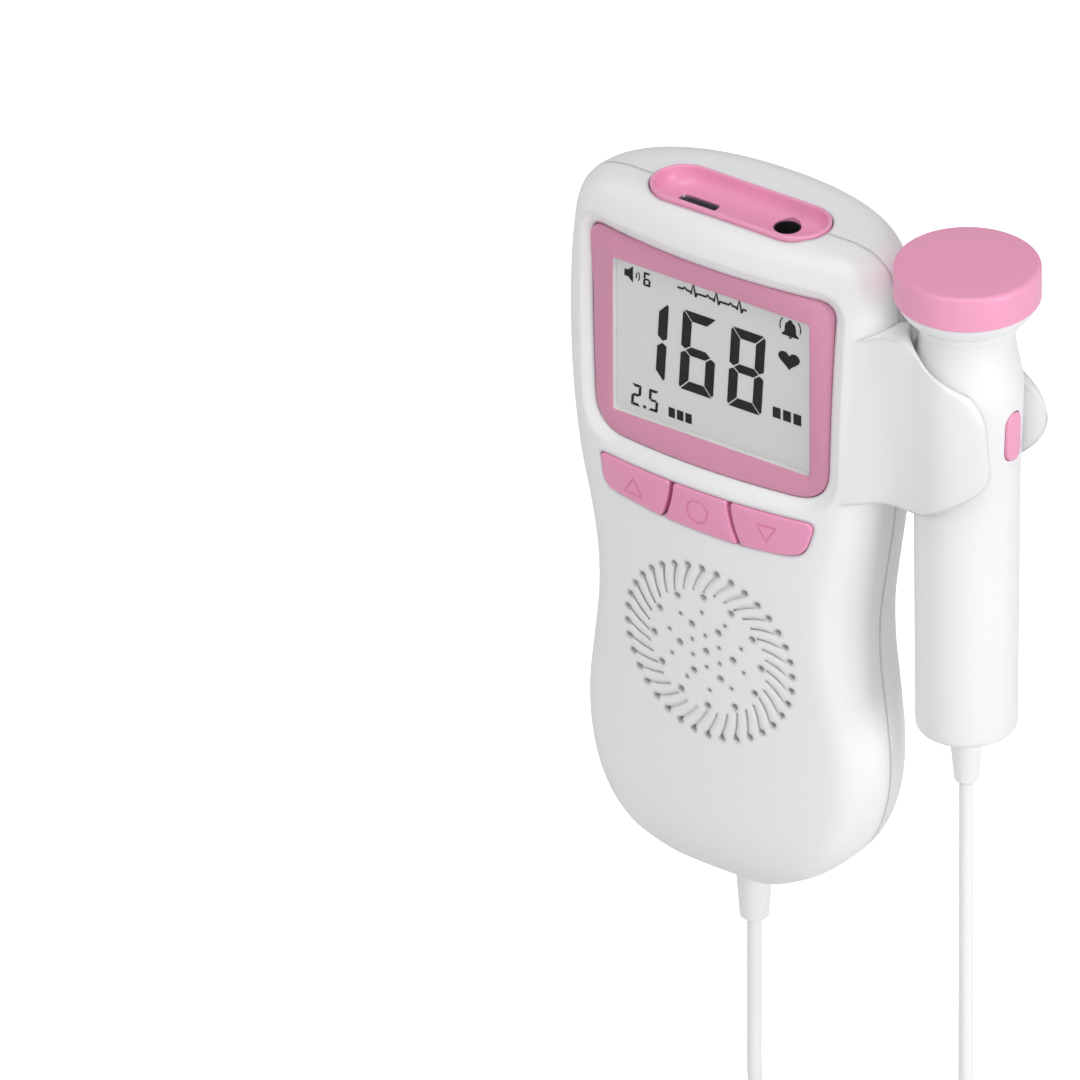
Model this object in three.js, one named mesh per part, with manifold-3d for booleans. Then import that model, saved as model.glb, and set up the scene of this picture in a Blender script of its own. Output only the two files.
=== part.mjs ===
// Hand-held fetal doppler monitor: a body with a screen, three keys and a speaker, and a probe that
// sits in a C-shaped clip on the body's right side. Both hang on one cable.
// Units are millimetres. +Z runs up the body, the screen looks along -Y, the probe is at +X.
// Heights are first counted from the foot of the body. The finished group is then lowered so that
// the origin lies in the waist, where a hand holds the body, on the line of the body's cord.

import * as THREE from 'three';
import { mergeVertices } from 'three/addons/utils/BufferGeometryUtils.js';
import Module from 'manifold-3d';

const wasm = await Module();
wasm.setup();

// Driving sizes of the body
const bodyHeight = 136;
const bodyHalfWidth = 33.4;
const faceHalfWidth = 29.6; // half the width of the front face, inside its soft edge
const frontDepth = 16.5; // from the cord line to the crown of the front face
const rearDepth = 15.6; // from the cord line to the crown of the back
const rearLandCut = 0.7; // the crown of the back is cut flat by this much, to lie on a table
const faceRadius = 125; // crown of the front face across its width
const wall = 2;
const seamSetback = 4; // the parting line lies this far in front of the cord line
const seamGap = 0.3;
const clearance = 0.3; // between pieces that don't slide on each other
const overrun = 2; // how far a cutter runs past what it cuts
const gripHeight = 52; // the waist, where a hand holds the body
const sideLeanShare = 0.9; // how steeply the side leaves the front face
const rearRoundness = 2.2; // exponent of the rear section: 2 is an ellipse, more is squarer

// Driving sizes of the screen and its frame
const windowHalfWidth = 20.6;
const windowTop = 122.9;
const windowBottom = 92.5;
const windowCorner = 0.8;
const bezelLeftTop = 26.5; // the frame is wider at its upper left corner
const bezelLeftBottom = 24.1;
const bezelRightTop = 24.6;
const bezelRightBottom = 24.3;
const bezelTop = 127.1;
const bezelBottom = 88.2;
const bezelCornerTop = 3.5;
const bezelCornerBottom = 6.5;
const bezelRecess = 1.4; // the frame lies this far below the front face
const recessChamfer = 2.3; // width of the sloping rim round the frame
const bezelBackSetback = 5; // from the crown of the face to the frame's back
const bezelLipSetback = 3.2; // from the crown of the face to the frame's inner edge
const bezelFlange = 1.5; // what the frame reaches behind the housing wall
const bezelFlangeThickness = 1;
const lensSetback = 3.8; // from the crown of the face to the lens
const lensThickness = 0.5;
const lcdThickness = 2.6;
const lcdBorder = 1.6;
const backlightThickness = 1.7;

// Driving sizes of the keys
const keyBandHalfWidth = 22.4;
const keyBandTop = 84.4;
const keyBandBottom = 76.65; // lowest point of its curved foot
const keyBandCorner = 1.2;
const keyProud = 0.45;
const keyTravel = 0.5;
const keySlot = 0.62; // gap between one key and the next
const keySplitTop = 5.95; // where the middle key's side meets the top edge
const keySplitBottom = 8.3;
const keySplitBow = 0.5; // the middle key's sides are hollow by this much
const keySplitSteps = 4;
const keyFootSteps = 14;
const keyFlange = 1;
const keyFlangeThickness = 0.9;
const keyCentre = 14.2; // from the middle of the band to the middle of an outer key
const keyStemRadius = 1.5;
const switchSide = 6;
const switchHeight = 3.7;

// Driving sizes of the speaker and its grille
const grilleHeight = 51.4;
const grilleRadius = 17.2;
const grilleDropHole = 0.62;
const grilleSmallHole = 0.4;
const grilleTailWidth = 0.46;
const grilleTailDepth = 0.45; // the tails are grooves, only the round holes go through
const grilleTailStartShare = 0.965;
const grilleTailEndShare = 0.715;
const grilleTailSwirl = THREE.MathUtils.degToRad(9.7);
const grilleDrops = 36;
const speakerRadius = 18;
const speakerSetback = 6.5; // from the crown of the face to its rim
const speakerRim = 1;
const speakerDepth = 5.4;
const magnetRadius = 8.5;
const magnetDepth = 3.2;
const speakerSeat = 1.3; // thickness of the round rib that the speaker rests on

// Driving sizes of the port tray in the top
const trayHalfLength = 17.8;
const trayHalfWidth = 6.1;
const trayRim = 1;
const trayProud = 0.6;
const trayDepth = 2.7; // from the rim to the floor
const trayFloor = 1.2;
const trayFlange = 1.3;
const usbX = -9;
const usbWidth = 7.8;
const usbThickness = 2.8;
const usbLength = 5.6;
const usbShell = 0.35;
const jackX = 8.9;
const jackMouthRadius = 2.45;
const jackBoreRadius = 1.8; // takes a 3.5 mm plug
const jackBodyWidth = 6.4;
const jackBodyDepth = 5.6;
const jackLength = 11;

// Driving sizes of the circuit board, the battery and the screws
const boardSetback = 11.1; // from the crown of the face to the board's rear face
const boardThickness = 1.6;
const boardHalfWidth = 24.5;
const boardEdge = 3; // from the board screws to its lower edge
const boardShoulder = 121.5;
const boardNeckHalfWidth = 17.5;
const batteryWidth = 34;
const batteryHeight = 50;
const batteryThickness = 6;
const batteryBottom = 68;
const batterySetback = 11.4; // from the crown of the back to the battery's front
const batteryCorner = 2.5;
const ribThickness = 1.4;
const screwRadius = 1.2;
const screwHeadRadius = 2.2;
const screwHeadHeight = 1.6;
const screwLength = 10;
const screwFloor = 1.8;
const bossRadius = 3.1;
const topScrewX = 24;
const topScrewHeight = 126.2;
const lowScrewX = 16.5;
const lowScrewHeight = 19;
const boardScrewX = 20.5;
const boardScrewHeight = 71.2;
const boardScrewRadius = 0.9;
const boardScrewHead = 1.7;
const boardScrewLength = 6;

// Driving sizes of the probe and of the clip that holds it
const probeX = 45.5;
const probeY = -1.5;
const capRadius = 12.8;
const capTop = 138;
const capHeight = 6.6;
const capFace = 1.4;
const capFillet = 0.9;
const capWall = 0.6;
const collarRadius = 12.3;
const collarFoot = 126;
const collarFootRadius = 8.4;
const collarRing = 1.4; // height of the plain ring under the flare
const collarStep = 0.6; // the flare starts this far outside the ring
const collarFloor = 1.5;
const neckRadius = 8.3;
const neckBottom = 124.5;
const gripTop = 114; // where the handle is thickest
const gripTopRadius = 9.8;
const handleRadius = 9.1;
const handleFootRadius = 8.9;
const handleFoot = 45.5;
const handleFillet = 1.4;
const handleWall = 1.8;
const clipBore = 10.05;
const clipHalfDepth = 11.3; // from the probe's axis to the outside of either arm
const clipBottom = 92.1;
const clipTop = 126;
const clipTipReach = 11.1;
const clipLipStep = 0.25; // rounding of the tips, towards the probe
const clipMouthAngle = THREE.MathUtils.degToRad(53.5);
const probeButtonHeight = 106.6;
const probeButtonHalfLength = 4.7;
const probeButtonHalfWidth = 2.05;
const probeButtonProud = 0.5;
const probeButtonTravel = 0.5;
const probeButtonFlange = 0.8;
const crystalRadius = 10.2;
const crystalThickness = 0.8;
const crystalSlot = 0.6;
const probeBoardLength = 44;
const probeBoardHalfWidth = 4.5;
const probeBoardThickness = 1.2;
const probeBoardTop = 113;
const probeSwitchSide = 4.4;

// Driving sizes of the cable
const cordDiameter = 2.6;
const cordSides = 8;
const bodyReliefLength = 9.2;
const bodyReliefRadius = 3.15;
const bodyReliefEndRadius = 2.6;
const probeReliefLength = 10.9;
const probeReliefRadius = 3;
const probeReliefEndRadius = 2.2;
const reliefFlange = 0.9;
const reliefFlangeThickness = 1.4;
const reliefTipRound = 0.9;
const hankHeight = -78; // middle of the hank, below the foot of the body
const hankTurns = 7;
const hankEndRadius = 7;
const hankPitch = 3.05;
const hankWaist = 2.3; // half the height between the runs where the tie holds them
const hankWaistLength = 9;
const tieWidth = 5;
const tieThickness = 0.8;

// Depths of the pieces inside, in front of the cord line or behind it
const seam = -seamSetback;
const rearLand = rearDepth - rearLandCut;
const bezelBack = frontDepth - bezelBackSetback;
const bezelLip = frontDepth - bezelLipSetback;
const lensFront = frontDepth - lensSetback;
const speakerFront = frontDepth - speakerSetback;
const boardBack = frontDepth - boardSetback;
const boardFront = boardBack + boardThickness;
const boardBottom = boardScrewHeight - boardEdge;
const batteryFront = rearDepth - batterySetback;
const lcdFront = lensFront - lensThickness - clearance;
const lcdBack = lcdFront - lcdThickness;
const capBottom = capTop - capHeight;

// Form of the body from its foot to its top, as shares of the driving sizes above:
// height, half width at the parting line, half width of the face, front depth, rear depth
const bodyLevelShares = [
  [0.0, 0.18, 0.16, 0.255, 0.24],
  [0.009, 0.375, 0.355, 0.385, 0.4],
  [0.022, 0.525, 0.49, 0.5, 0.55],
  [0.044, 0.66, 0.635, 0.61, 0.7],
  [0.074, 0.775, 0.755, 0.69, 0.815],
  [0.118, 0.867, 0.842, 0.748, 0.915],
  [0.176, 0.922, 0.895, 0.79, 0.98],
  [0.243, 0.925, 0.893, 0.832, 1.0],
  [0.316, 0.89, 0.836, 0.868, 1.0],
  [0.39, 0.853, 0.784, 0.903, 0.993],
  [0.456, 0.85, 0.777, 0.94, 0.987],
  [0.522, 0.886, 0.811, 0.975, 0.98],
  [0.603, 0.937, 0.899, 0.998, 0.98],
  [0.691, 0.976, 0.959, 1.0, 0.975],
  [0.787, 0.997, 0.993, 0.976, 0.968],
  [0.868, 1.0, 1.0, 0.935, 0.955],
  [0.926, 0.985, 0.99, 0.891, 0.93],
  [0.9595, 0.955, 0.966, 0.862, 0.897],
  [0.9815, 0.905, 0.912, 0.812, 0.833],
  [0.995, 0.82, 0.82, 0.715, 0.73],
  [1.0, 0.72, 0.71, 0.582, 0.603],
];

// Outline of the clip seen from above: reach from the face's edge to the tip, depth from the probe's axis
const clipPlanShares = [
  [-0.06, 0.84],
  [0.015, 0.868],
  [0.09, 0.892],
  [0.2, 0.906],
  [0.31, 0.89],
  [0.4, 0.885],
  [0.478, 0.924],
  [0.59, 0.982],
  [0.663, 0.996],
  [0.755, 0.969],
  [0.867, 0.894],
  [0.952, 0.815],
  [1, 0.743],
];

// Outlines of the two arms seen from the front: the same reach, height from the clip's foot to its top
const frontArmShares = [
  [-0.2, 0.96],
  [0.1, 0.952],
  [0.222, 0.944],
  [0.33, 0.942],
  [0.4, 0.93],
  [0.46, 0.9],
  [0.526, 0.85],
  [0.61, 0.817],
  [0.7, 0.788],
  [0.817, 0.736],
  [0.88, 0.69],
  [0.923, 0.64],
  [0.948, 0.56],
  [0.963, 0.43],
  [0.982, 0.327],
  [0.958, 0.26],
  [0.9, 0.194],
  [0.74, 0.098],
  [0.64, 0.045],
  [0.526, -0.003],
  [0.418, -0.023],
  [0.22, -0.025],
  [0.06, -0.06],
  [-0.06, -0.13],
  [-0.2, -0.26],
];
const rearArmShares = [
  [-0.2, 0.84],
  [0.34, 0.82],
  [0.5, 0.73],
  [0.63, 0.655],
  [0.73, 0.612],
  [0.792, 0.588],
  [0.889, 0.55],
  [0.971, 0.487],
  [1, 0.42],
  [0.96, 0.33],
  [0.889, 0.24],
  [0.83, 0.193],
  [0.66, 0.077],
  [0.537, 0.018],
  [0.34, 0],
  [-0.2, 0],
];

// Lower edge of the row of keys, from left to right: share of its half width, share of its height
const keyFootShares = [
  [-0.955, 0.613],
  [-0.879, 0.458],
  [-0.71, 0.342],
  [-0.393, 0.148],
  [-0.071, 0.032],
  [0.268, 0],
  [0.58, 0.032],
  [0.821, 0.097],
  [0.933, 0.303],
];

// Places of the small round holes in the grille, as shares of its radius: radius, count, first angle in degrees
const grilleRings = [
  { radiusShare: 0, count: 1, start: 0, hole: grilleDropHole },
  { radiusShare: 0.322, count: 6, start: 0, hole: grilleDropHole },
  { radiusShare: 0.65, count: 12, start: 0, hole: grilleDropHole },
  { radiusShare: 0.188, count: 6, start: 30, hole: grilleSmallHole },
  { radiusShare: 0.46, count: 10, start: 21.6, hole: grilleSmallHole },
];

// Materials
const plastic = (color, roughness = 0.38) => new THREE.MeshStandardMaterial({ color, roughness, metalness: 0 });
const metal = (color, roughness = 0.35) => new THREE.MeshStandardMaterial({ color, roughness, metalness: 1 });
const white = plastic(0xf1f1f1);
const pink = plastic(0xe993b7);
const clear = new THREE.MeshStandardMaterial({ color: 0xf4f6f8, roughness: 0.05, transparent: true, opacity: 0.3 });
const glass = plastic(0xcfd1cf, 0.2);
const boardGreen = plastic(0x1f6b43, 0.5);
const black = plastic(0x1c1c1e, 0.45);
const softWhite = plastic(0xf4f4f2, 0.6);
const steel = metal(0xc9ccd0);
const ceramic = plastic(0xd8c9a0, 0.5);
const paper = plastic(0x2a2a2c, 0.8);
const foil = plastic(0xbfc3c8, 0.3);

// Solids

// A closed geometry as a solid: only positions, shared corners merged, and no empty triangles.
function solid(geometry) {
  const bare = geometry.index ? geometry.clone() : geometry.clone();
  bare.deleteAttribute('normal');
  bare.deleteAttribute('uv');
  const merged = mergeVertices(bare, 1e-4);
  const index = merged.index.array;
  const triVerts = [];
  for (let i = 0; i < index.length; i += 3) {
    const [a, b, c] = [index[i], index[i + 1], index[i + 2]];
    if (a !== b && b !== c && c !== a) triVerts.push(a, b, c);
  }
  const mesh = (corners) =>
    new wasm.Mesh({
      numProp: 3,
      vertProperties: new Float32Array(merged.attributes.position.array),
      triVerts: new Uint32Array(corners),
    });
  const first = new wasm.Manifold(mesh(triVerts));
  if (first.volume() > 0) return first;
  for (let i = 0; i < triVerts.length; i += 3) {
    [triVerts[i + 1], triVerts[i + 2]] = [triVerts[i + 2], triVerts[i + 1]];
  }
  return new wasm.Manifold(mesh(triVerts));
}

function geometryOf(manifold) {
  const { vertProperties, triVerts } = manifold.getMesh();
  const geometry = new THREE.BufferGeometry();
  geometry.setAttribute('position', new THREE.BufferAttribute(new Float32Array(vertProperties), 3));
  geometry.setIndex(new THREE.BufferAttribute(new Uint32Array(triVerts), 1));
  geometry.computeVertexNormals();
  return geometry;
}

const joined = (...solids) => solids.reduce((all, next) => all.add(next));
const cutBy = (base, ...cutters) => cutters.reduce((rest, next) => rest.subtract(next), base);

// A surface through rings of equally many points. Open ends are closed by fans; a looped one has none.
function loft(rings, looped = false) {
  const count = rings[0].length;
  const points = rings.flat();
  const corners = [];
  const last = looped ? rings.length : rings.length - 1;
  for (let r = 0; r < last; r += 1) {
    const next = (r + 1) % rings.length;
    for (let i = 0; i < count; i += 1) {
      const j = (i + 1) % count;
      const [a, b, c, d] = [r * count + i, r * count + j, next * count + i, next * count + j];
      corners.push(a, b, d, a, d, c);
    }
  }
  if (!looped) {
    for (const [ring, flip] of [[0, true], [rings.length - 1, false]]) {
      const centre = rings[ring].reduce((sum, p) => sum.add(p), new THREE.Vector3()).divideScalar(count);
      points.push(centre);
      for (let i = 0; i < count; i += 1) {
        const [a, b] = [ring * count + i, ring * count + ((i + 1) % count)];
        corners.push(...(flip ? [b, a] : [a, b]), points.length - 1);
      }
    }
  }
  const geometry = new THREE.BufferGeometry().setFromPoints(points);
  geometry.setIndex(corners);
  return solid(geometry);
}

function box(x0, x1, y0, y1, z0, z1) {
  const geometry = new THREE.BoxGeometry(x1 - x0, y1 - y0, z1 - z0);
  geometry.translate((x0 + x1) / 2, (y0 + y1) / 2, (z0 + z1) / 2);
  return solid(geometry);
}

// An outline in X and Z, extruded from one depth to another along Y.
function slab(outline, y0, y1) {
  const geometry = new THREE.ExtrudeGeometry(new THREE.Shape(outline), { depth: y1 - y0, bevelEnabled: false });
  geometry.rotateX(Math.PI / 2);
  geometry.translate(0, y1, 0);
  return solid(geometry);
}

// An outline in X and Y, extruded upwards.
function column(outline, z0, z1) {
  const geometry = new THREE.ExtrudeGeometry(new THREE.Shape(outline), { depth: z1 - z0, bevelEnabled: false });
  geometry.translate(0, 0, z0);
  return solid(geometry);
}

// A profile of radius and height, turned round an upright axis at x, y.
function turned(profile, x, y, segments) {
  const points = profile.map(([r, z]) => new THREE.Vector2(r, z));
  const geometry = new THREE.LatheGeometry(points, segments);
  geometry.rotateX(Math.PI / 2);
  geometry.translate(x, y, 0);
  return solid(geometry);
}

// A round bar along Y.
function bar(radius, x, z, y0, y1, segments = 16) {
  const geometry = new THREE.CylinderGeometry(radius, radius, y1 - y0, segments);
  geometry.translate(x, (y0 + y1) / 2, z);
  return solid(geometry);
}

// A closed outline through corners given as [across, up, corner radius], with even steps on each side.
function roundedOutline(corners, cornerSteps = 4, sideSteps = 1) {
  const at = corners.map(([x, z]) => new THREE.Vector2(x, z));
  const ends = corners.map(([, , radius], i) => {
    const before = at[(i + corners.length - 1) % corners.length].clone().sub(at[i]);
    const after = at[(i + 1) % corners.length].clone().sub(at[i]);
    const reach = Math.min(radius, before.length() / 2, after.length() / 2);
    return [
      at[i].clone().addScaledVector(before.normalize(), reach),
      at[i].clone().addScaledVector(after.normalize(), reach),
    ];
  });
  const outline = [];
  corners.forEach((corner, i) => {
    const [start, end] = ends[i];
    const bend = new THREE.QuadraticBezierCurve(start, at[i], end);
    outline.push(...bend.getPoints(cornerSteps));
    const next = ends[(i + 1) % corners.length][0];
    for (let s = 1; s < sideSteps; s += 1) outline.push(end.clone().lerp(next, s / sideSteps));
  });
  return outline.filter((p, i) => p.distanceTo(outline[(i + 1) % outline.length]) > 1e-3);
}

// A stadium, long across, in X and Y.
function stadium(halfLength, halfWidth, x, y, steps = 10) {
  const outline = [];
  for (const side of [1, -1]) {
    for (let i = 0; i <= steps; i += 1) {
      const angle = (side > 0 ? -Math.PI / 2 : Math.PI / 2) + (Math.PI * i) / steps;
      const cx = x + side * (halfLength - halfWidth);
      outline.push(new THREE.Vector2(cx + halfWidth * Math.cos(angle), y + halfWidth * Math.sin(angle)));
    }
  }
  return outline;
}

// A round tube along points, with frames carried along so that it doesn't twist.
function tube(points, radius, sides) {
  const rings = [];
  let normal = new THREE.Vector3(0, 1, 0);
  points.forEach((point, i) => {
    const before = points[Math.max(i - 1, 0)];
    const after = points[Math.min(i + 1, points.length - 1)];
    const along = after.clone().sub(before).normalize();
    normal = normal.clone().addScaledVector(along, -normal.dot(along)).normalize();
    const across = along.clone().cross(normal);
    rings.push(
      Array.from({ length: sides }, (_, k) => {
        const angle = (2 * Math.PI * k) / sides;
        return point
          .clone()
          .addScaledVector(normal, radius * Math.cos(angle))
          .addScaledVector(across, radius * Math.sin(angle));
      }),
    );
  });
  return loft(rings);
}

// Body form

// The body's sizes at a share of its height, on a smooth curve through the levels.
function levelAt(share) {
  const rows = bodyLevelShares;
  let i = rows.findIndex((row) => row[0] >= share);
  i = Math.min(Math.max(i, 1), rows.length - 1);
  const [a, b] = [rows[i - 1], rows[i]];
  const [before, after] = [rows[Math.max(i - 2, 0)], rows[Math.min(i + 1, rows.length - 1)]];
  const span = b[0] - a[0];
  const t = (share - a[0]) / span;
  return [1, 2, 3, 4].map((k) => {
    const slopeA = (b[k] - before[k]) / (b[0] - before[0]);
    const slopeB = (after[k] - a[k]) / (after[0] - a[0]);
    return (
      a[k] * (2 * t ** 3 - 3 * t ** 2 + 1) +
      slopeA * span * (t ** 3 - 2 * t ** 2 + t) +
      b[k] * (3 * t ** 2 - 2 * t ** 3) +
      slopeB * span * (t ** 3 - t ** 2)
    );
  });
}

// One level section of the body, as points in X and Y, anticlockwise from the right-hand seam.
function section(share, faceSteps, sideSteps, rearSteps) {
  const [widthShare, faceShare, frontShare, rearShare] = levelAt(share);
  const halfWidth = bodyHalfWidth * widthShare;
  const face = Math.min(faceHalfWidth * faceShare, halfWidth);
  const front = frontDepth * frontShare;
  const rear = rearDepth * rearShare + seamSetback;
  const edge = front - face ** 2 / (2 * faceRadius);
  const outline = [];
  for (let i = 0; i <= rearSteps; i += 1) {
    const angle = (Math.PI * i) / rearSteps;
    const [c, s] = [Math.cos(angle), Math.sin(angle)];
    const power = 2 / rearRoundness;
    outline.push(new THREE.Vector2(halfWidth * Math.sign(c) * Math.abs(c) ** power, seam + rear * s ** power));
  }
  const bend = Math.max(edge - (halfWidth - face) * sideLeanShare, seamSetback);
  const side = new THREE.QuadraticBezierCurve(
    new THREE.Vector2(halfWidth, seam),
    new THREE.Vector2(halfWidth, -bend),
    new THREE.Vector2(face, -edge),
  ).getPoints(sideSteps);
  outline.push(...side.slice(1).map((p) => new THREE.Vector2(-p.x, p.y)));
  for (let i = 1; i < faceSteps; i += 1) {
    const x = -face + (2 * face * i) / faceSteps;
    outline.push(new THREE.Vector2(x, -front + x ** 2 / (2 * faceRadius)));
  }
  outline.push(...side.slice(1).reverse());
  return outline;
}

// The whole body form, drawn in by an inset (or let out by a negative one).
function bodyForm(inset, detail) {
  const { levels, faceSteps, sideSteps, rearSteps } = detail;
  const wide = 1 - inset / bodyHalfWidth;
  const front = (frontDepth - seamSetback - inset) / (frontDepth - seamSetback);
  const rear = (rearDepth + seamSetback - inset) / (rearDepth + seamSetback);
  const tall = 1 - (2 * inset) / bodyHeight;
  const rings = levels.map((share) =>
    section(share, faceSteps, sideSteps, rearSteps).map(
      (p) =>
        new THREE.Vector3(
          p.x * wide,
          seam + (p.y - seam) * (p.y < seam ? front : rear),
          bodyHeight * share * tall + inset,
        ),
    ),
  );
  return loft(rings);
}

const levelShares = bodyLevelShares.map(([share]) => share);
const middles = levelShares.slice(1).map((share, i) => (share + levelShares[i]) / 2);
const fineLevels = [...levelShares, ...middles.slice(4, -4)].sort((a, b) => a - b);
const coarseLevels = levelShares.filter((_, i) => i % 2 === 0);
const fine = { levels: fineLevels, faceSteps: 10, sideSteps: 4, rearSteps: 18 };
const coarse = { levels: coarseLevels, faceSteps: 6, sideSteps: 2, rearSteps: 12 };

// Depth of the front face at a place, in front of the cord line.
function faceDepth(x, z) {
  const [, , frontShare] = levelAt(Math.min(Math.max(z / bodyHeight, 0), 1));
  return frontDepth * frontShare - x ** 2 / (2 * faceRadius);
}

// An outline laid on the front face, sunk by a depth.
const onFace = (outline, sunk) => outline.map((p) => new THREE.Vector3(p.x, -(faceDepth(p.x, p.y) - sunk), p.y));
const atDepth = (outline, depth) => outline.map((p) => new THREE.Vector3(p.x, -depth, p.y));

const reach = bodyHeight + capTop; // a length beyond every piece, for half-space cutters
const outerForm = bodyForm(0, fine).subtract(box(-reach, reach, rearLand, reach, -reach, reach));
const cavityForm = bodyForm(wall, coarse);
const frontHalf = box(-reach, reach, -reach, seam - seamGap / 2, -reach, reach);
const rearHalf = box(-reach, reach, seam + seamGap / 2, reach, -reach, reach);

// Screen frame, lens and display

const bezelOutline = (grow = 0) =>
  roundedOutline(
    [
      [bezelRightTop + grow, bezelTop + grow, bezelCornerTop + grow],
      [-bezelLeftTop - grow, bezelTop + grow, bezelCornerTop + grow],
      [-bezelLeftBottom - grow, bezelBottom - grow, bezelCornerBottom + grow],
      [bezelRightBottom + grow, bezelBottom - grow, bezelCornerBottom + grow],
    ],
    4,
    6,
  );

const windowOutline = (grow = 0) =>
  roundedOutline(
    [
      [windowHalfWidth + grow, windowTop + grow, windowCorner + grow],
      [-windowHalfWidth - grow, windowTop + grow, windowCorner + grow],
      [-windowHalfWidth - grow, windowBottom - grow, windowCorner + grow],
      [windowHalfWidth + grow, windowBottom - grow, windowCorner + grow],
    ],
    4,
    6,
  );

function lcdBezel() {
  const frame = loft(
    [
      onFace(bezelOutline(), bezelRecess),
      atDepth(windowOutline(), bezelLip),
      atDepth(windowOutline(), bezelBack),
      atDepth(bezelOutline(), bezelBack),
    ],
    true,
  );
  const sunk = wall + clearance;
  const flange = slab(bezelOutline(bezelFlange), -frontDepth, -bezelBack)
    .intersect(bodyForm(sunk, coarse))
    .subtract(bodyForm(sunk + bezelFlangeThickness, coarse))
    .subtract(slab(bezelOutline(-clearance), -frontDepth - overrun, 0));
  return joined(frame, flange.intersect(slab(bezelOutline(bezelFlange), -frontDepth, -bezelBack)));
}

const lcdLens = () => slab(windowOutline(-clearance), -lensFront, -lensFront + lensThickness);
const lcdPanel = () => slab(windowOutline(-clearance), -lcdFront, -lcdBack);
const lcdBacklight = () =>
  slab(windowOutline(lcdBorder), -lcdBack + clearance, -lcdBack + clearance + backlightThickness);

// Opening for the frame: a sloping rim down to the frame, then straight through the wall.
function bezelOpening() {
  const rim = bezelOutline(clearance);
  return loft([
    atDepth(bezelOutline(recessChamfer + clearance), frontDepth + overrun),
    onFace(bezelOutline(recessChamfer + clearance), 0),
    onFace(rim, bezelRecess),
    atDepth(rim, bezelBack - clearance),
  ]);
}

// Keys

function bandOutline(grow) {
  const height = keyBandTop - keyBandBottom;
  const foot = new THREE.SplineCurve(
    keyFootShares.map(([x, z]) => new THREE.Vector2(x * keyBandHalfWidth, keyBandBottom + z * height)),
  ).getPoints(keyFootSteps);
  const corners = [
    [keyBandHalfWidth, keyBandTop, keyBandCorner],
    [-keyBandHalfWidth, keyBandTop, keyBandCorner],
    ...foot.map((p) => [p.x, p.y, 0]),
  ];
  const outline = roundedOutline(corners, 2);
  return outline.map((p, i) => {
    const along = outline[(i + 1) % outline.length].clone().sub(outline.at(i - 1)).normalize();
    return new THREE.Vector2(p.x + along.y * grow, p.y - along.x * grow);
  });
}

// The part of the band that one key fills: -1 is the left key, 0 the middle one, 1 the right one.
function keyZone(side) {
  const height = keyBandTop - keyBandBottom;
  const past = overrun / height;
  const split = [];
  for (let i = 0; i <= keySplitSteps; i += 1) {
    const t = -past + ((1 + 2 * past) * i) / keySplitSteps;
    const x = keySplitTop + (keySplitBottom - keySplitTop) * t - keySplitBow * 4 * t * (1 - t);
    split.push(new THREE.Vector2(x, keyBandTop - height * t));
  }
  const beside = split.map((p) => new THREE.Vector2(p.x + (side === 0 ? -keySlot / 2 : keySlot / 2), p.y));
  const mirrored = beside.map((p) => new THREE.Vector2(-p.x, p.y));
  const far = [keyBandTop + overrun, keyBandBottom - overrun].map((z) => new THREE.Vector2(bodyHalfWidth * side, z));
  if (side === 0) return slab([...beside, ...mirrored.reverse()], -frontDepth - overrun, 0);
  return slab([...(side > 0 ? beside : mirrored), ...far.reverse()], -frontDepth - overrun, 0);
}

const keyBlank = (() => {
  const shaft = slab(bandOutline(-clearance), -frontDepth - overrun, 0).intersect(bodyForm(-keyProud, fine));
  const sunk = wall + clearance;
  const flange = slab(bandOutline(keyFlange), -frontDepth, 0).intersect(bodyForm(sunk, coarse));
  return joined(shaft, flange).subtract(bodyForm(sunk + keyFlangeThickness, coarse));
})();

const stemEnd = boardFront + switchHeight + clearance + keyTravel; // depth where a pressed key meets its switch

function key(side) {
  const x = side * keyCentre;
  const z = (keyBandTop + keyBandBottom) / 2;
  const stem = bar(keyStemRadius, x, z, -frontDepth + wall, -stemEnd, 10);
  return joined(keyBlank.intersect(keyZone(side)), stem);
}

function keySwitch(side) {
  const x = side * keyCentre;
  const z = (keyBandTop + keyBandBottom) / 2;
  const half = switchSide / 2;
  const base = boardFront + clearance;
  const cap = base + (switchHeight - clearance) / 2;
  return joined(
    box(x - half, x + half, -cap, -base, z - half, z + half),
    bar(keyStemRadius, x, z, -(boardFront + switchHeight), -cap + clearance, 10),
  );
}

const keyOpening = () => slab(bandOutline(0), -frontDepth - overrun, -boardFront);

// Speaker and grille

function grilleHoles() {
  const holes = [];
  for (const { radiusShare, count, start, hole } of grilleRings) {
    for (let i = 0; i < count; i += 1) {
      const angle = THREE.MathUtils.degToRad(start) + (2 * Math.PI * i) / count;
      const r = radiusShare * grilleRadius;
      const [x, z] = [r * Math.cos(angle), grilleHeight + r * Math.sin(angle)];
      holes.push(bar(hole, x, z, -frontDepth - overrun, -speakerFront - clearance, 5));
    }
  }
  for (let i = 0; i < grilleDrops; i += 1) {
    const angle = (2 * Math.PI * i) / grilleDrops;
    const [x, z] = [grilleRadius * Math.cos(angle), grilleHeight + grilleRadius * Math.sin(angle)];
    holes.push(bar(grilleDropHole, x, z, -frontDepth - overrun, -speakerFront - clearance, 5), grilleTail(angle));
  }
  return wasm.Manifold.union(holes);
}

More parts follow.
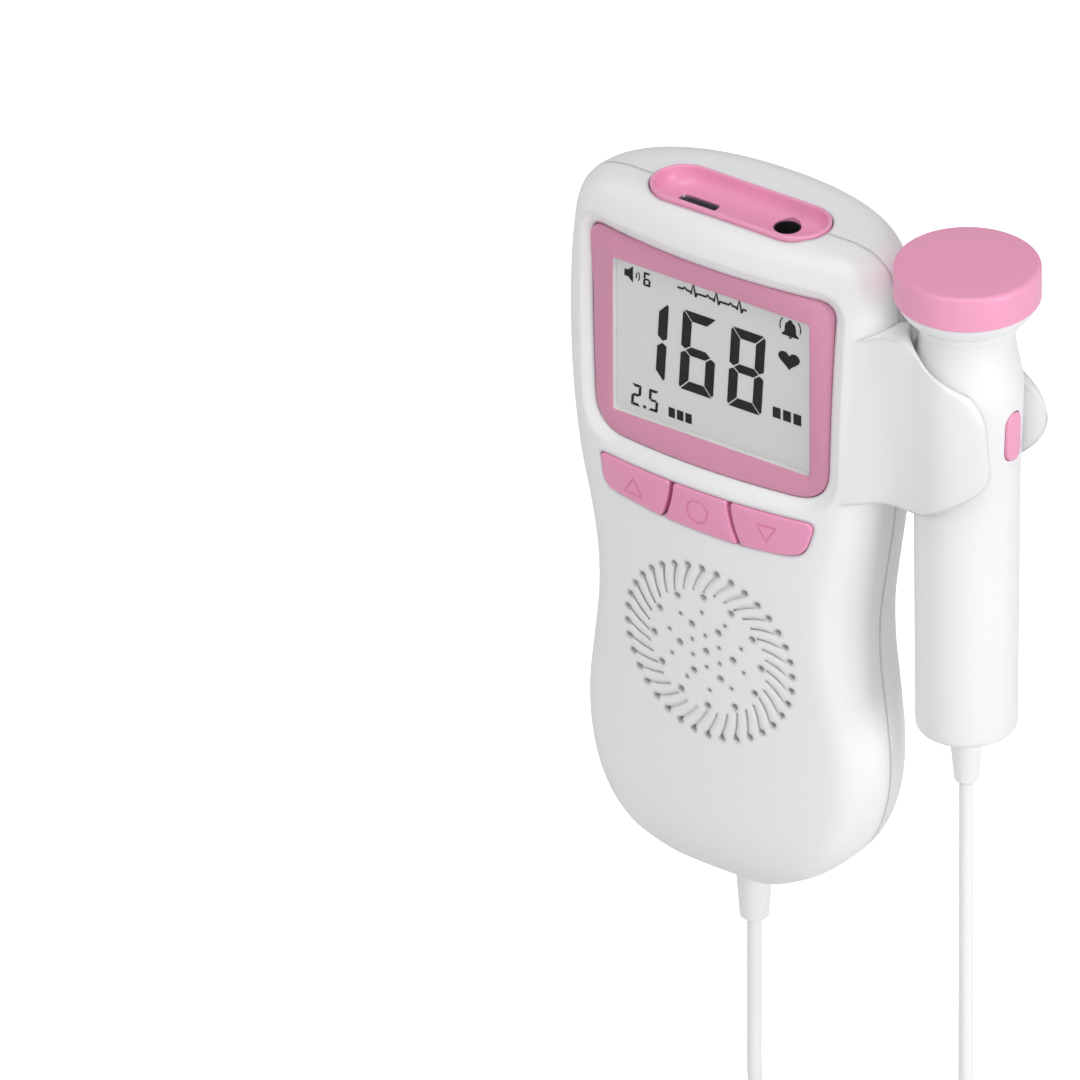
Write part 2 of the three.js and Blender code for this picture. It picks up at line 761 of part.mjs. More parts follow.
// The groove that runs inwards from one of the outer holes, turned a little round the middle.
function grilleTail(angle) {
  const [from, to] = [
    [grilleTailStartShare, angle],
    [grilleTailEndShare, angle + grilleTailSwirl],
  ].map(([share, turn]) => {
    const r = grilleRadius * share;
    return new THREE.Vector2(r * Math.cos(turn), grilleHeight + r * Math.sin(turn));
  });
  const along = to.clone().sub(from).normalize();
  const across = new THREE.Vector2(-along.y, along.x).multiplyScalar(grilleTailWidth / 2);
  const outline = [
    from.clone().sub(across),
    to.clone().sub(across),
    to.clone().add(across),
    from.clone().add(across),
  ];
  return loft([atDepth(outline, frontDepth + overrun), onFace(outline, grilleTailDepth)]);
}

function speakerFrame() {
  const [rim, back] = [-speakerFront, -speakerFront + speakerDepth];
  const inner = speakerRadius - speakerRim;
  const profile = [
    [inner, rim],
    [speakerRadius, rim],
    [speakerRadius, rim + speakerRim],
    [magnetRadius + speakerRim, back],
    [0, back],
    [0, back - speakerRim],
    [magnetRadius, back - speakerRim],
    [inner, rim + speakerRim],
    [inner, rim],
  ];
  return alongY(profile, 20);
}

function speakerCone() {
  const front = -speakerFront + clearance;
  const edge = speakerRadius - speakerRim - clearance;
  const deep = front + speakerDepth / 2;
  return alongY(
    [
      [0, front + speakerRim],
      [magnetRadius / 2, front + speakerRim],
      [magnetRadius / 2 + speakerRim, deep - speakerRim],
      [edge - speakerRim, front],
      [edge, front],
      [edge, front + clearance],
      [magnetRadius / 2 + speakerRim, deep],
      [0, deep],
    ],
    16,
  );
}

function speakerMagnet() {
  const front = -speakerFront + speakerDepth + clearance;
  return bar(magnetRadius, 0, grilleHeight, front, front + magnetDepth, 24);
}

// A profile of radius and depth turned round the speaker's axis.
function alongY(profile, segments) {
  const geometry = new THREE.LatheGeometry(profile.map(([r, y]) => new THREE.Vector2(r, y)), segments);
  geometry.translate(0, 0, grilleHeight);
  return solid(geometry);
}

function speakerRib() {
  const outer = speakerRadius + speakerSeat / 2;
  const front = bar(outer, 0, grilleHeight, -frontDepth, -speakerFront - clearance, 20);
  const bore = bar(outer - speakerSeat, 0, grilleHeight, -frontDepth - overrun, 0, 20);
  return front.subtract(bore).intersect(bodyForm(wall / 2, coarse));
}

// Port tray, sockets

const trayTop = bodyHeight + trayProud;
const trayBottom = trayTop - trayDepth - trayFloor;

const usbY = -boardBack + clearance + usbThickness / 2;
const jackY = -boardBack + clearance + jackBodyDepth / 2;

function usbOutline(grow) {
  const [halfWidth, halfThickness] = [usbWidth / 2 + grow, usbThickness / 2 + grow];
  return roundedOutline(
    [
      [usbX - halfWidth, usbY - halfThickness, halfThickness / 2],
      [usbX + halfWidth, usbY - halfThickness, halfThickness / 2],
      [usbX + halfWidth, usbY + halfThickness, halfThickness],
      [usbX - halfWidth, usbY + halfThickness, halfThickness],
    ],
    2,
  );
}

function portTray() {
  const cup = cutBy(
    joined(
      column(stadium(trayHalfLength, trayHalfWidth, 0, seam), trayBottom, trayTop),
      column(
        stadium(trayHalfLength + trayFlange, trayHalfWidth + trayFlange, 0, seam),
        trayBottom - trayFloor,
        trayBottom,
      ).intersect(bodyForm(wall + clearance, coarse)),
    ),
    column(
      stadium(trayHalfLength - trayRim, trayHalfWidth - trayRim, 0, seam),
      trayTop - trayDepth,
      trayTop + overrun,
    ),
  );
  const jack = new THREE.CylinderGeometry(jackMouthRadius, jackMouthRadius, reach, 20);
  jack.rotateX(Math.PI / 2).translate(jackX, jackY, trayTop);
  return cutBy(cup, column(usbOutline(0), 0, trayTop + overrun), solid(jack));
}

const traySeat = trayBottom - trayFloor - clearance; // what the tray leaves for the sockets

function usbSocket() {
  const top = traySeat;
  return cutBy(
    column(usbOutline(0), top - usbLength, top),
    column(usbOutline(-usbShell), top - usbLength + usbShell, top + overrun),
  );
}

function audioJack() {
  const [halfWidth, halfDepth] = [jackBodyWidth / 2, jackBodyDepth / 2];
  const top = traySeat;
  const bore = new THREE.CylinderGeometry(jackBoreRadius, jackBoreRadius, jackLength, 32);
  bore.rotateX(Math.PI / 2).translate(jackX, jackY, top - jackLength / 2 + wall);
  const block = box(jackX - halfWidth, jackX + halfWidth, jackY - halfDepth, jackY + halfDepth, top - jackLength, top);
  return block.subtract(solid(bore));
}

// Circuit board, battery, screws

const caseScrews = [
  [-topScrewX, topScrewHeight],
  [topScrewX, topScrewHeight],
  [-lowScrewX, lowScrewHeight],
  [lowScrewX, lowScrewHeight],
];
const boardScrews = [-boardScrewX, boardScrewX];
const headSeat = seam + screwFloor + wall; // depth of the face that a case screw's head pulls on

function mainBoard() {
  const corners = [
    [boardHalfWidth, boardBottom],
    [boardHalfWidth, boardShoulder],
    [boardNeckHalfWidth, boardShoulder],
    [boardNeckHalfWidth, traySeat],
    [-boardNeckHalfWidth, traySeat],
    [-boardNeckHalfWidth, boardShoulder],
    [-boardHalfWidth, boardShoulder],
    [-boardHalfWidth, boardBottom],
  ];
  const sheet = slab(corners.map(([x, z]) => new THREE.Vector2(x, z)), -boardFront, -boardBack);
  const holes = boardScrews.map((x) => bar(boardScrewRadius + clearance, x, boardScrewHeight, -reach, reach, 10));
  return cutBy(sheet, ...holes);
}

function boardScrew(x) {
  const top = -boardBack + clearance;
  return joined(
    bar(boardScrewHead, x, boardScrewHeight, top, top + boardScrewRadius, 12),
    bar(boardScrewRadius, x, boardScrewHeight, top - boardScrewLength, top + boardScrewRadius / 2, 8),
  );
}

function battery() {
  const half = batteryWidth / 2;
  const top = batteryBottom + batteryHeight;
  const outline = roundedOutline([
    [half, top, batteryCorner],
    [-half, top, batteryCorner],
    [-half, batteryBottom, batteryCorner],
    [half, batteryBottom, batteryCorner],
  ]);
  return slab(outline, batteryFront, batteryFront + batteryThickness);
}

function caseScrew([x, z]) {
  return joined(
    bar(screwHeadRadius, x, z, headSeat + clearance, headSeat + clearance + screwHeadHeight, 12),
    bar(screwRadius, x, z, headSeat + clearance - screwLength, headSeat + clearance + screwHeadHeight / 2, 8),
  );
}

// Clip for the probe

const clipRoot = faceHalfWidth;
const clipSpan = probeX + clipTipReach - clipRoot;
const clipAt = (share) => clipRoot + clipSpan * share;

// The clip's plan: the outside of the arms, then round the bore, open towards +X.
function clipPlan() {
  const outside = new THREE.SplineCurve(
    clipPlanShares.map(([x, y]) => new THREE.Vector2(clipAt(x), y * clipHalfDepth)),
  ).getPoints(18);
  const tip = outside[outside.length - 1];
  const bore = [];
  for (let i = 0; i <= 20; i += 1) {
    const angle = clipMouthAngle + ((2 * Math.PI - 2 * clipMouthAngle) * i) / 20;
    bore.push(new THREE.Vector2(probeX + clipBore * Math.cos(angle), clipBore * Math.sin(angle)));
  }
  const lip = tip.clone().lerp(bore[0], 1 / 2).sub(new THREE.Vector2(0, clipLipStep));
  const mirror = (p) => new THREE.Vector2(p.x, -p.y);
  const root = new THREE.Vector2(0, outside[0].y);
  const outline = [
    root,
    ...outside,
    lip,
    ...bore,
    mirror(lip),
    ...outside.map(mirror).reverse(),
    mirror(root),
  ];
  return outline.map((p) => new THREE.Vector2(p.x, p.y + probeY));
}

function clipArm(shares, side) {
  const outline = shares.map(
    ([x, z]) => new THREE.Vector2(clipAt(x), clipBottom + z * (clipTop - clipBottom)),
  );
  const depth = clipHalfDepth * 2;
  const arm = side < 0 ? slab(outline, probeY - depth, seam) : slab(outline, seam, probeY + depth);
  const foot = Math.min(...outline.map((p) => p.y)) - overrun;
  return column(clipPlan(), foot, clipTop).intersect(arm);
}

// Housing

function housing() {
  return joined(outerForm, clipArm(frontArmShares, -1), clipArm(rearArmShares, 1)).subtract(cavityForm);
}

const trayHole = () =>
  column(stadium(trayHalfLength + clearance, trayHalfWidth + clearance, 0, seam), trayBottom, trayTop + overrun);

function reliefHole() {
  const neck = new THREE.CylinderGeometry(bodyReliefEndRadius + clearance, bodyReliefEndRadius + clearance, reach, 16);
  neck.rotateX(Math.PI / 2);
  return solid(neck).intersect(box(-reach, reach, -reach, reach, -reach, bodyHeight / 2));
}

const shell = housing();

function frontShell() {
  const posts = caseScrews.map(([x, z]) =>
    bar(bossRadius, x, z, -frontDepth, seam - seamGap / 2, 12).intersect(bodyForm(wall / 2, coarse)),
  );
  const boardPosts = boardScrews.map((x) =>
    bar(boardScrewHead, x, boardScrewHeight, -frontDepth, -boardFront - clearance, 10).intersect(
      bodyForm(wall / 2, coarse),
    ),
  );
  const screwBores = caseScrews.map(([x, z]) =>
    bar(screwRadius + clearance, x, z, headSeat - screwLength - clearance, reach, 8),
  );
  const boardBores = boardScrews.map((x) =>
    bar(boardScrewRadius + clearance, x, boardScrewHeight, -boardBack - boardScrewLength - clearance, 0, 8),
  );
  return cutBy(
    joined(shell.intersect(frontHalf), speakerRib(), ...posts, ...boardPosts),
    bezelOpening(),
    keyOpening(),
    grilleHoles(),
    trayHole(),
    reliefHole(),
    ...screwBores,
    ...boardBores,
  );
}

function rearShell() {
  const tubes = caseScrews.map(([x, z]) =>
    bar(bossRadius, x, z, seam + seamGap / 2, reach, 12).intersect(bodyForm(wall / 2, coarse)),
  );
  const sinks = caseScrews.map(([x, z]) => bar(screwHeadRadius + clearance, x, z, headSeat, reach, 12));
  const bores = caseScrews.map(([x, z]) => bar(screwRadius + clearance, x, z, seam - overrun, reach, 8));
  const ribs = [-1, 1].map((side) => {
    const x = (side * batteryWidth) / 4;
    return box(
      x - ribThickness / 2,
      x + ribThickness / 2,
      batteryFront + batteryThickness + clearance,
      rearDepth,
      batteryBottom,
      batteryBottom + batteryHeight,
    ).intersect(bodyForm(wall / 2, coarse));
  });
  return cutBy(joined(shell.intersect(rearHalf), ...tubes, ...ribs), ...sinks, ...bores, trayHole(), reliefHole());
}

// Probe

const buttonSeat = gripTopRadius - handleWall; // radius of the flat that the probe's button sits over

function handleRadiusAt(z) {
  const rows = handleProfile();
  for (let i = 1; i < rows.length; i += 1) {
    const [[r0, z0], [r1, z1]] = [rows[i - 1], rows[i]];
    if (z <= z1) return r0 + ((r1 - r0) * (z - z0)) / Math.max(z1 - z0, clearance);
  }
  return neckRadius;
}

// Outside of the handle from its foot to the neck, as radius and height.
function handleProfile() {
  const between = (share) => handleFoot + (gripTop - handleFoot) * share;
  const flare = (share) => gripTop + (neckBottom - gripTop) * share;
  const narrowing = (share) => gripTopRadius - (gripTopRadius - neckRadius) * share;
  return [
    [handleFootRadius - handleFillet, handleFoot],
    [handleFootRadius - handleFillet / 3, handleFoot + handleFillet / 3],
    [handleFootRadius, handleFoot + handleFillet],
    [handleRadius, between(0.4)],
    [handleRadius + (gripTopRadius - handleRadius) * 0.2, between(0.74)],
    [handleRadius + (gripTopRadius - handleRadius) * 0.7, between(0.9)],
    [gripTopRadius, gripTop],
    [narrowing(0.3), flare(0.35)],
    [narrowing(0.75), flare(0.68)],
    [neckRadius, neckBottom],
    [neckRadius, collarFoot - clearance],
  ];
}

function ovalX(halfLength, halfWidth, x0, x1, steps = 6) {
  const outline = [];
  for (const side of [1, -1]) {
    for (let i = 0; i <= steps; i += 1) {
      const angle = (side > 0 ? 0 : Math.PI) + (Math.PI * i) / steps;
      const z = probeButtonHeight + side * (halfLength - halfWidth) + halfWidth * Math.sin(angle);
      outline.push([probeY + halfWidth * Math.cos(angle), z]);
    }
  }
  return loft([x0, x1].map((x) => outline.map(([y, z]) => new THREE.Vector3(x, y, z))));
}

const buttonFaceRadius = handleRadiusAt(probeButtonHeight);

function probeHandle() {
  const outside = handleProfile();
  const bore = outside
    .filter(([, z]) => z >= handleFoot + handleFillet)
    .map(([r, z]) => [r - handleWall, z]);
  bore[0][1] = handleFoot + handleWall;
  const [topR, topZ] = outside[outside.length - 1];
  const profile = [
    [0, handleFoot],
    ...outside,
    [topR - handleWall, topZ],
    ...bore.reverse().slice(1),
    [0, handleFoot + handleWall],
  ];
  const hole = new THREE.CylinderGeometry(
    probeReliefEndRadius + clearance,
    probeReliefEndRadius + clearance,
    handleWall * 4,
    14,
  );
  hole.rotateX(Math.PI / 2).translate(probeX, probeY, handleFoot);
  const slot = ovalX(
    probeButtonHalfLength + clearance,
    probeButtonHalfWidth + clearance,
    probeX,
    probeX + gripTopRadius + overrun,
  );
  return cutBy(turned(profile, probeX, probeY, 28), solid(hole), slot);
}

function probeHead() {
  const rim = capTop - capFace - clearance;
  const inside = collarRadius - capWall - handleWall / 2;
  const spigot = neckRadius - handleWall - clearance;
  const lift = (share) => collarFoot + (capBottom - clearance - collarFoot) * share;
  const ringTop = collarFoot + collarRing;
  const flareRadius = collarFootRadius + collarStep;
  const swell = (share) => flareRadius + (collarRadius - flareRadius) * share;
  const rise = (share) => ringTop + (capBottom - clearance - ringTop) * share;
  const profile = [
    [spigot - handleWall, collarFoot - collarFootRadius / 2],
    [spigot, collarFoot - collarFootRadius / 2],
    [spigot, collarFoot],
    [collarFootRadius, collarFoot],
    [collarFootRadius, ringTop],
    [flareRadius, ringTop],
    [swell(0.42), rise(0.3)],
    [swell(0.73), rise(0.59)],
    [swell(0.91), rise(0.86)],
    [collarRadius, rise(1)],
    [collarRadius - capWall, lift(1)],
    [collarRadius - capWall, rim],
    [inside, rim],
    [inside, lift(0.45) + collarFloor],
    [spigot - handleWall, lift(0.45) + collarFloor],
    [spigot - handleWall, collarFoot - collarFootRadius / 2],
  ];
  return turned(profile, probeX, probeY, 28);
}

function probeCap() {
  const inside = collarRadius - capWall + clearance;
  return turned(
    [
      [inside, capBottom],
      [capRadius, capBottom],
      [capRadius, capTop - capFillet],
      [capRadius - capFillet * 0.3, capTop - capFillet * 0.3],
      [capRadius - capFillet, capTop],
      [0, capTop],
      [0, capTop - capFace],
      [inside, capTop - capFace],
      [inside, capBottom],
    ],
    probeX,
    probeY,
    32,
  );
}

const crystalTop = capTop - capFace - clearance;
const headInside = collarRadius - capWall - handleWall / 2;

function crystal(side) {
  const disc = new THREE.CylinderGeometry(crystalRadius, crystalRadius, crystalThickness, 28);
  disc.rotateX(Math.PI / 2).translate(probeX, probeY, crystalTop - crystalThickness / 2);
  const x0 = probeX + crystalSlot / 2;
  const x1 = probeX + crystalRadius + overrun;
  const half = box(x0, x1, probeY - reach, probeY + reach, 0, reach);
  const other = box(2 * probeX - x1, 2 * probeX - x0, probeY - reach, probeY + reach, 0, reach);
  return solid(disc).intersect(side > 0 ? half : other);
}

function crystalBacking() {
  const top = crystalTop - crystalThickness - clearance;
  const floor = collarFoot + (capBottom - clearance - collarFoot) * 0.45 + collarFloor + clearance;
  const disc = new THREE.CylinderGeometry(headInside - clearance, headInside - clearance, top - floor, 28);
  disc.rotateX(Math.PI / 2).translate(probeX, probeY, (top + floor) / 2);
  return solid(disc);
}

const flangeX = buttonFaceRadius - handleWall - clearance; // where the button's flange meets the wall inside

function probeButton() {
  const flangeBack = probeX + flangeX - probeButtonFlange - handleWall / 2;
  const crown = buttonFaceRadius + probeButtonProud;
  const round = turned([[0, 0], [crown, 0], [crown, capTop], [0, capTop]], probeX, probeY, 72);
  return joined(
    ovalX(probeButtonHalfLength, probeButtonHalfWidth, flangeBack, probeX + crown).intersect(round),
    ovalX(
      probeButtonHalfLength + probeButtonFlange,
      probeButtonHalfWidth + probeButtonFlange,
      flangeBack,
      flangeBack + probeButtonFlange,
    ),
  );
}

const probeSwitchTop = probeX + flangeX - probeButtonFlange - handleWall / 2 - probeButtonTravel - clearance;
const probeBoardFace = probeX + probeBoardThickness / 2;

function probeSwitch() {
  const half = probeSwitchSide / 2;
  return box(
    probeBoardFace + clearance,
    probeSwitchTop,
    probeY - half,
    probeY + half,
    probeButtonHeight - half,
    probeButtonHeight + half,
  );
}

function probeBoard() {
  return box(
    probeX - probeBoardThickness / 2,
    probeBoardFace,
    probeY - probeBoardHalfWidth,
    probeY + probeBoardHalfWidth,
    probeBoardTop - probeBoardLength,
    probeBoardTop,
  );
}

// Cable and strain reliefs

// A tapered sleeve that hangs from a wall, with a neck through it and a flange inside it.
function relief(x, y, foot, thickness, length, radius, endRadius) {
  const tip = foot - length;
  const inside = foot + thickness + 2 * clearance;
  return turned(
    [
      [0, tip],
      [endRadius - reliefTipRound, tip],
      [endRadius, tip + reliefTipRound],
      [radius, foot - length / 5],
      [radius, foot - clearance],
      [endRadius, foot - clearance],
      [endRadius, inside],
      [endRadius + reliefFlange, inside],
      [endRadius + reliefFlange, inside + reliefFlangeThickness],
      [0, inside + reliefFlangeThickness],
    ],
    x,
    y,
    16,
  );
}

const bodyRelief = () => relief(0, 0, 0, wall, bodyReliefLength, bodyReliefRadius, bodyReliefEndRadius);
const probeRelief = () =>
  relief(probeX, probeY, handleFoot, handleWall, probeReliefLength, probeReliefRadius, probeReliefEndRadius);

const hankMiddle = probeX / 2;
const hankRun = hankMiddle - hankEndRadius; // half a straight run
const hankStart = (hankTurns * hankPitch) / 2; // the turns lie side by side along Y
const cordEnd = hankHeight + cordDiameter;

// One point of the hank: turn counts loops from the left end, down and along the lower run first.
function hankPoint(turn) {
  const loop = Math.floor(turn);
  const step = (turn - loop) * 24;
  const bend = (from) => (Math.PI * from) / 6;
  let [x, z, climb] = [0, 0, 0];
  if (step <= 3) {
    x = -hankRun - hankEndRadius * Math.cos(bend(step));
    z = -hankEndRadius * Math.sin(bend(step));
  } else if (step <= 9) {
    x = -hankRun + (2 * hankRun * (step - 3)) / 6;
    z = -hankEndRadius;
  } else if (step <= 15) {
    x = hankRun + hankEndRadius * Math.sin(bend(step - 9));
    z = -hankEndRadius * Math.cos(bend(step - 9));
  } else if (step <= 21) {
    x = hankRun - (2 * hankRun * (step - 15)) / 6;
    z = hankEndRadius;
    climb = (step - 15) / 6;
  } else {
    x = -hankRun - hankEndRadius * Math.sin(bend(step - 21));
    z = hankEndRadius * Math.cos(bend(step - 21));
    climb = 1;
  }
  const pinch = 1 - (1 - hankWaist / hankEndRadius) * Math.exp(-((x / hankWaistLength) ** 4));
  return new THREE.Vector3(hankMiddle + x, hankStart - (loop + climb) * hankPitch, hankHeight + z * pinch);
}

function hankLine() {
  const line = [];
  for (let i = 0; i <= hankTurns * 24 + 12; i += 1) line.push(hankPoint(i / 24));
  const [first, last] = [line[0].clone(), line[line.length - 1].clone()];
  line.unshift(first.clone().setZ(cordEnd));
  line.push(last.clone().setZ(cordEnd));
  return line;
}

// The least gap between turns of the hank, from points along its middle line.
function leastGap(line) {
  const fineLine = new THREE.CatmullRomCurve3(line).getSpacedPoints(line.length * 2);
  const apart = Math.round((Math.PI * hankEndRadius) / fineLine[0].distanceTo(fineLine[1]));
  let least = Infinity;
  fineLine.forEach((p, i) => {
    for (let j = i + apart; j < fineLine.length; j += 1) least = Math.min(least, p.distanceTo(fineLine[j]));
  });
  return least - cordDiameter;
}

// Routes of the two free stretches, in heights from the foot of the body.
const bodyDropRoute = [
  [0, 0, -9.5],
  [0, 0, -14],
  [0, 0, -22],
  [0, 0, -31],
  [0, 0, -40],
  [0, 0.9, -47],
  [0, 3.4, -54],
  [0, 7.1, -61],
  [0, 9.8, -67],
  [0, 10.6, -71.5],
  [0, 10.675, -75.1],
];
const probeDropRoute = [
  [45.5, -1.5, 34.3],
  [45.5, -1.5, 29],
  [45.5, -1.5, 20],
  [45.5, -1.5, 10],
  [45.5, -1.5, 0],
  [45.5, -1.5, -10],
  [45.5, -1.5, -20],
  [45.5, -1.5, -30],
  [45.5, -1.5, -40],
  [45.5, -2.3, -47],
  [45.5, -4.5, -54],
  [45.5, -7.6, -61],
  [45.5, -9.9, -67],
  [45.5, -10.6, -71.5],
  [45.5, -10.675, -75.1],
];

function drop(route) {
  const curve = new THREE.CatmullRomCurve3(route.map(([x, y, z]) => new THREE.Vector3(x, y, z)));
  return tube(curve.getPoints(route.length * 2), cordDiameter / 2, cordSides);
}

function hankTie() {
  const halfDepth = hankStart + hankPitch / 2 + cordDiameter / 2 + clearance;
  const halfHeight = hankWaist + cordDiameter / 2 + 2 * clearance;
  const ring = (grow, x) =>
    roundedOutline(
      [
        [halfDepth + grow, halfHeight + grow, cordDiameter],
        [-halfDepth - grow, halfHeight + grow, cordDiameter],
        [-halfDepth - grow, -halfHeight - grow, cordDiameter],
        [halfDepth + grow, -halfHeight - grow, cordDiameter],
      ],
      3,
    ).map((p) => new THREE.Vector3(x, p.x, hankHeight + p.y));
  const [left, right] = [hankMiddle - tieWidth / 2, hankMiddle + tieWidth / 2];
  return loft([ring(0, left), ring(0, right), ring(tieThickness, right), ring(tieThickness, left)], true);
}

// Assembly

const doppler = new THREE.Group();

function add(name, form, material) {
  const mesh = new THREE.Mesh(geometryOf(form), material);
  mesh.name = name;
  doppler.add(mesh);
}

add('front_shell', frontShell(), white);
add('rear_shell', rearShell(), white);
add('lcd_bezel', lcdBezel(), pink);
add('lcd_lens', lcdLens(), clear);
add('lcd_panel', lcdPanel(), glass);
add('lcd_backlight', lcdBacklight(), softWhite);
const keyNames = { up: -1, select: 0, down: 1 };
for (const [name, side] of Object.entries(keyNames)) {
  add(`key_${name}`, key(side), pink);
  add(`key_switch_${name}`, keySwitch(side), black);
}
add('main_board', mainBoard(), boardGreen);
boardScrews.forEach((x, i) => add(`board_screw_${i + 1}`, boardScrew(x), steel));
add('speaker_frame', speakerFrame(), steel);
add('speaker_cone', speakerCone(), paper);
add('speaker_magnet', speakerMagnet(), steel);
add('battery', battery(), foil);
add('port_tray', portTray(), pink);
add('usb_socket', usbSocket(), steel);
add('audio_jack', audioJack(), black);
caseScrews.forEach((place, i) => add(`case_screw_${i + 1}`, caseScrew(place), steel));
add('body_relief', bodyRelief(), softWhite);
add('probe_handle', probeHandle(), white);
add('probe_head', probeHead(), white);
add('probe_cap', probeCap(), pink);
add('crystal_send', crystal(-1), ceramic);
add('crystal_receive', crystal(1), ceramic);
add('crystal_backing', crystalBacking(), black);
add('probe_board', probeBoard(), boardGreen);
add('probe_switch', probeSwitch(), black);
add('probe_button', probeButton(), pink);
add('probe_relief', probeRelief(), softWhite);
const hank = hankLine();
add('cord_body_drop', drop(bodyDropRoute), softWhite);
add('cord_probe_drop', drop(probeDropRoute), softWhite);
add('cord_hank', tube(hank, cordDiameter / 2, 6), softWhite);
add('hank_tie', hankTie(), black);
console.log(`least gap between turns of the hank: ${leastGap(hank).toFixed(2)} mm`);

doppler.position.z = -gripHeight;
export default doppler;
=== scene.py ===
"""A hand-held fetal doppler monitor with its probe in the clip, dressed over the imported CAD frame."""

import math

import bmesh
import bpy
from bpy.props import FloatProperty, FloatVectorProperty, IntProperty, PointerProperty
from mathutils import Matrix, Vector


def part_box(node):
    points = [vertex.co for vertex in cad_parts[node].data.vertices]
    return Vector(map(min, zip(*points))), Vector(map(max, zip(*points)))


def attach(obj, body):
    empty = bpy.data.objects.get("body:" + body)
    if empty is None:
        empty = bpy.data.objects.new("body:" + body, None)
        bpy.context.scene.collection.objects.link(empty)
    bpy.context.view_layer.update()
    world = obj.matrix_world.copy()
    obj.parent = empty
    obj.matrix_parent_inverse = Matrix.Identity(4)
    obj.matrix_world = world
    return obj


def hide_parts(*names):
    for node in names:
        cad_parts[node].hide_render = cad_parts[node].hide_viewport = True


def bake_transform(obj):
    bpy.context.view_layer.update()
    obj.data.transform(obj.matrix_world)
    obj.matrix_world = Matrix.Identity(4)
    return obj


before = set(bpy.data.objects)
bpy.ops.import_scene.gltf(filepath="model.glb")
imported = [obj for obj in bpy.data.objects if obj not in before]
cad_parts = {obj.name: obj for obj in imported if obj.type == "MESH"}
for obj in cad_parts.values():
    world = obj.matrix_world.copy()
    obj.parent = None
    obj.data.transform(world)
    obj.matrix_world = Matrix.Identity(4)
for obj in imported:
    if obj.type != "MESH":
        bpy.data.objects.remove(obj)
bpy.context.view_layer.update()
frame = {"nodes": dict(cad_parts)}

bl_info = {
    "name": "Fetal Doppler Monitor",
    "version": (1, 0, 0),
    "blender": (4, 5, 0),
    "location": "View3D > Sidebar > Doppler",
    "description": "Builds a hand-held fetal doppler monitor with its probe, cable and studio",
    "category": "Object",
}

MM = 0.001


# Sizes and colours that a user would change


def linear(hex_colour):
    """The linear RGBA of an sRGB hex colour."""
    parts = [int(hex_colour[i : i + 2], 16) / 255 for i in (1, 3, 5)]
    return tuple(c / 12.92 if c <= 0.04045 else ((c + 0.055) / 1.055) ** 2.4 for c in parts) + (1.0,)


def length(name, description, millimetres):
    """A length that a user may change, given in millimetres."""
    return FloatProperty(
        name=name,
        description=description,
        default=millimetres * MM,
        unit="LENGTH",
        subtype="DISTANCE",
        precision=5,
    )


def colour(name, description, hex_colour):
    """A colour that a user may change, given as sRGB hex."""
    return FloatVectorProperty(
        name=name,
        description=description,
        default=linear(hex_colour)[:3],
        subtype="COLOR",
        size=3,
        min=0,
        max=1,
    )


class DopplerBodySizes(bpy.types.PropertyGroup):
    """Sizes of the body"""

    height: length("Height", "Height of the body", 136)
    half_width: length("Half width", "Half the width at the parting line", 33.4)
    face_half_width: length("Face half width", "Half the width of the front face", 29.6)
    front_depth: length("Front depth", "From the cable line to the crown of the face", 16.5)
    rear_depth: length("Rear depth", "From the cable line to the crown of the back", 15.6)
    rear_land: length("Rear land", "Depth at which the back is cut flat", 14.9)
    face_radius: length("Face radius", "Crown of the front face", 125)
    wall: length("Wall", "Thickness of the housing", 2)
    seam: length("Seam setback", "From the cable line forward to the parting line, low down", 2.65)
    seam_top: length("Seam setback, top", "The same at the top, where the parting line bows forward", 4)
    seam_gap: length("Seam gap", "Groove between the two shells", 0.07)
    grip_height: length("Grip height", "From the foot to the origin in the waist", 52)


class DopplerScreenSizes(bpy.types.PropertyGroup):
    """Sizes of the screen and its frame"""

    window_half_width: length("Window half width", "Half the width of the window", 20.6)
    window_top: length("Window top", "Top of the window above the foot", 122.9)
    window_bottom: length("Window bottom", "Bottom of the window above the foot", 92.5)
    frame_left_top: length("Frame left, top", "From the middle to the upper left corner", 26.5)
    frame_left_bottom: length("Frame left, bottom", "From the middle to the lower left corner", 24.1)
    frame_right_top: length("Frame right, top", "From the middle to the upper right corner", 24.6)
    frame_right_bottom: length("Frame right, bottom", "From the middle to the lower right corner", 24.3)
    frame_top: length("Frame top", "Top of the frame above the foot", 127.1)
    frame_bottom: length("Frame bottom", "Bottom of the frame above the foot", 88.2)
    recess: length("Recess", "How deep the frame lies under the face", 1.4)
    rim: length("Rim", "Width of the sloping rim round the frame", 2.3)
    lip_depth: length("Lip depth", "Depth of the frame's inner edge", 13.3)
    back_depth: length("Back depth", "Depth of the frame's back", 11.5)


class DopplerKeySizes(bpy.types.PropertyGroup):
    """Sizes of the key row"""

    half_width: length("Half width", "Half the width of the key row", 22.4)
    top: length("Top", "Top of the keys above the foot", 84.4)
    bottom: length("Bottom", "Bottom of the keys above the foot", 75.8)
    corner: length("Corner", "Radius of the row's upper corners", 1.2)
    proud: length("Proud", "How far the keys stand out of the face", 0.45)
    gap: length("Gap", "Gap between keys", 0.74)
    bow: length("Bow", "How far the middle key's sides curve in", 0.5)
    split_top: length("Split top", "Where the middle key ends at its top", 5.95)
    split_bottom: length("Split bottom", "Where the middle key ends at its bottom", 8.3)


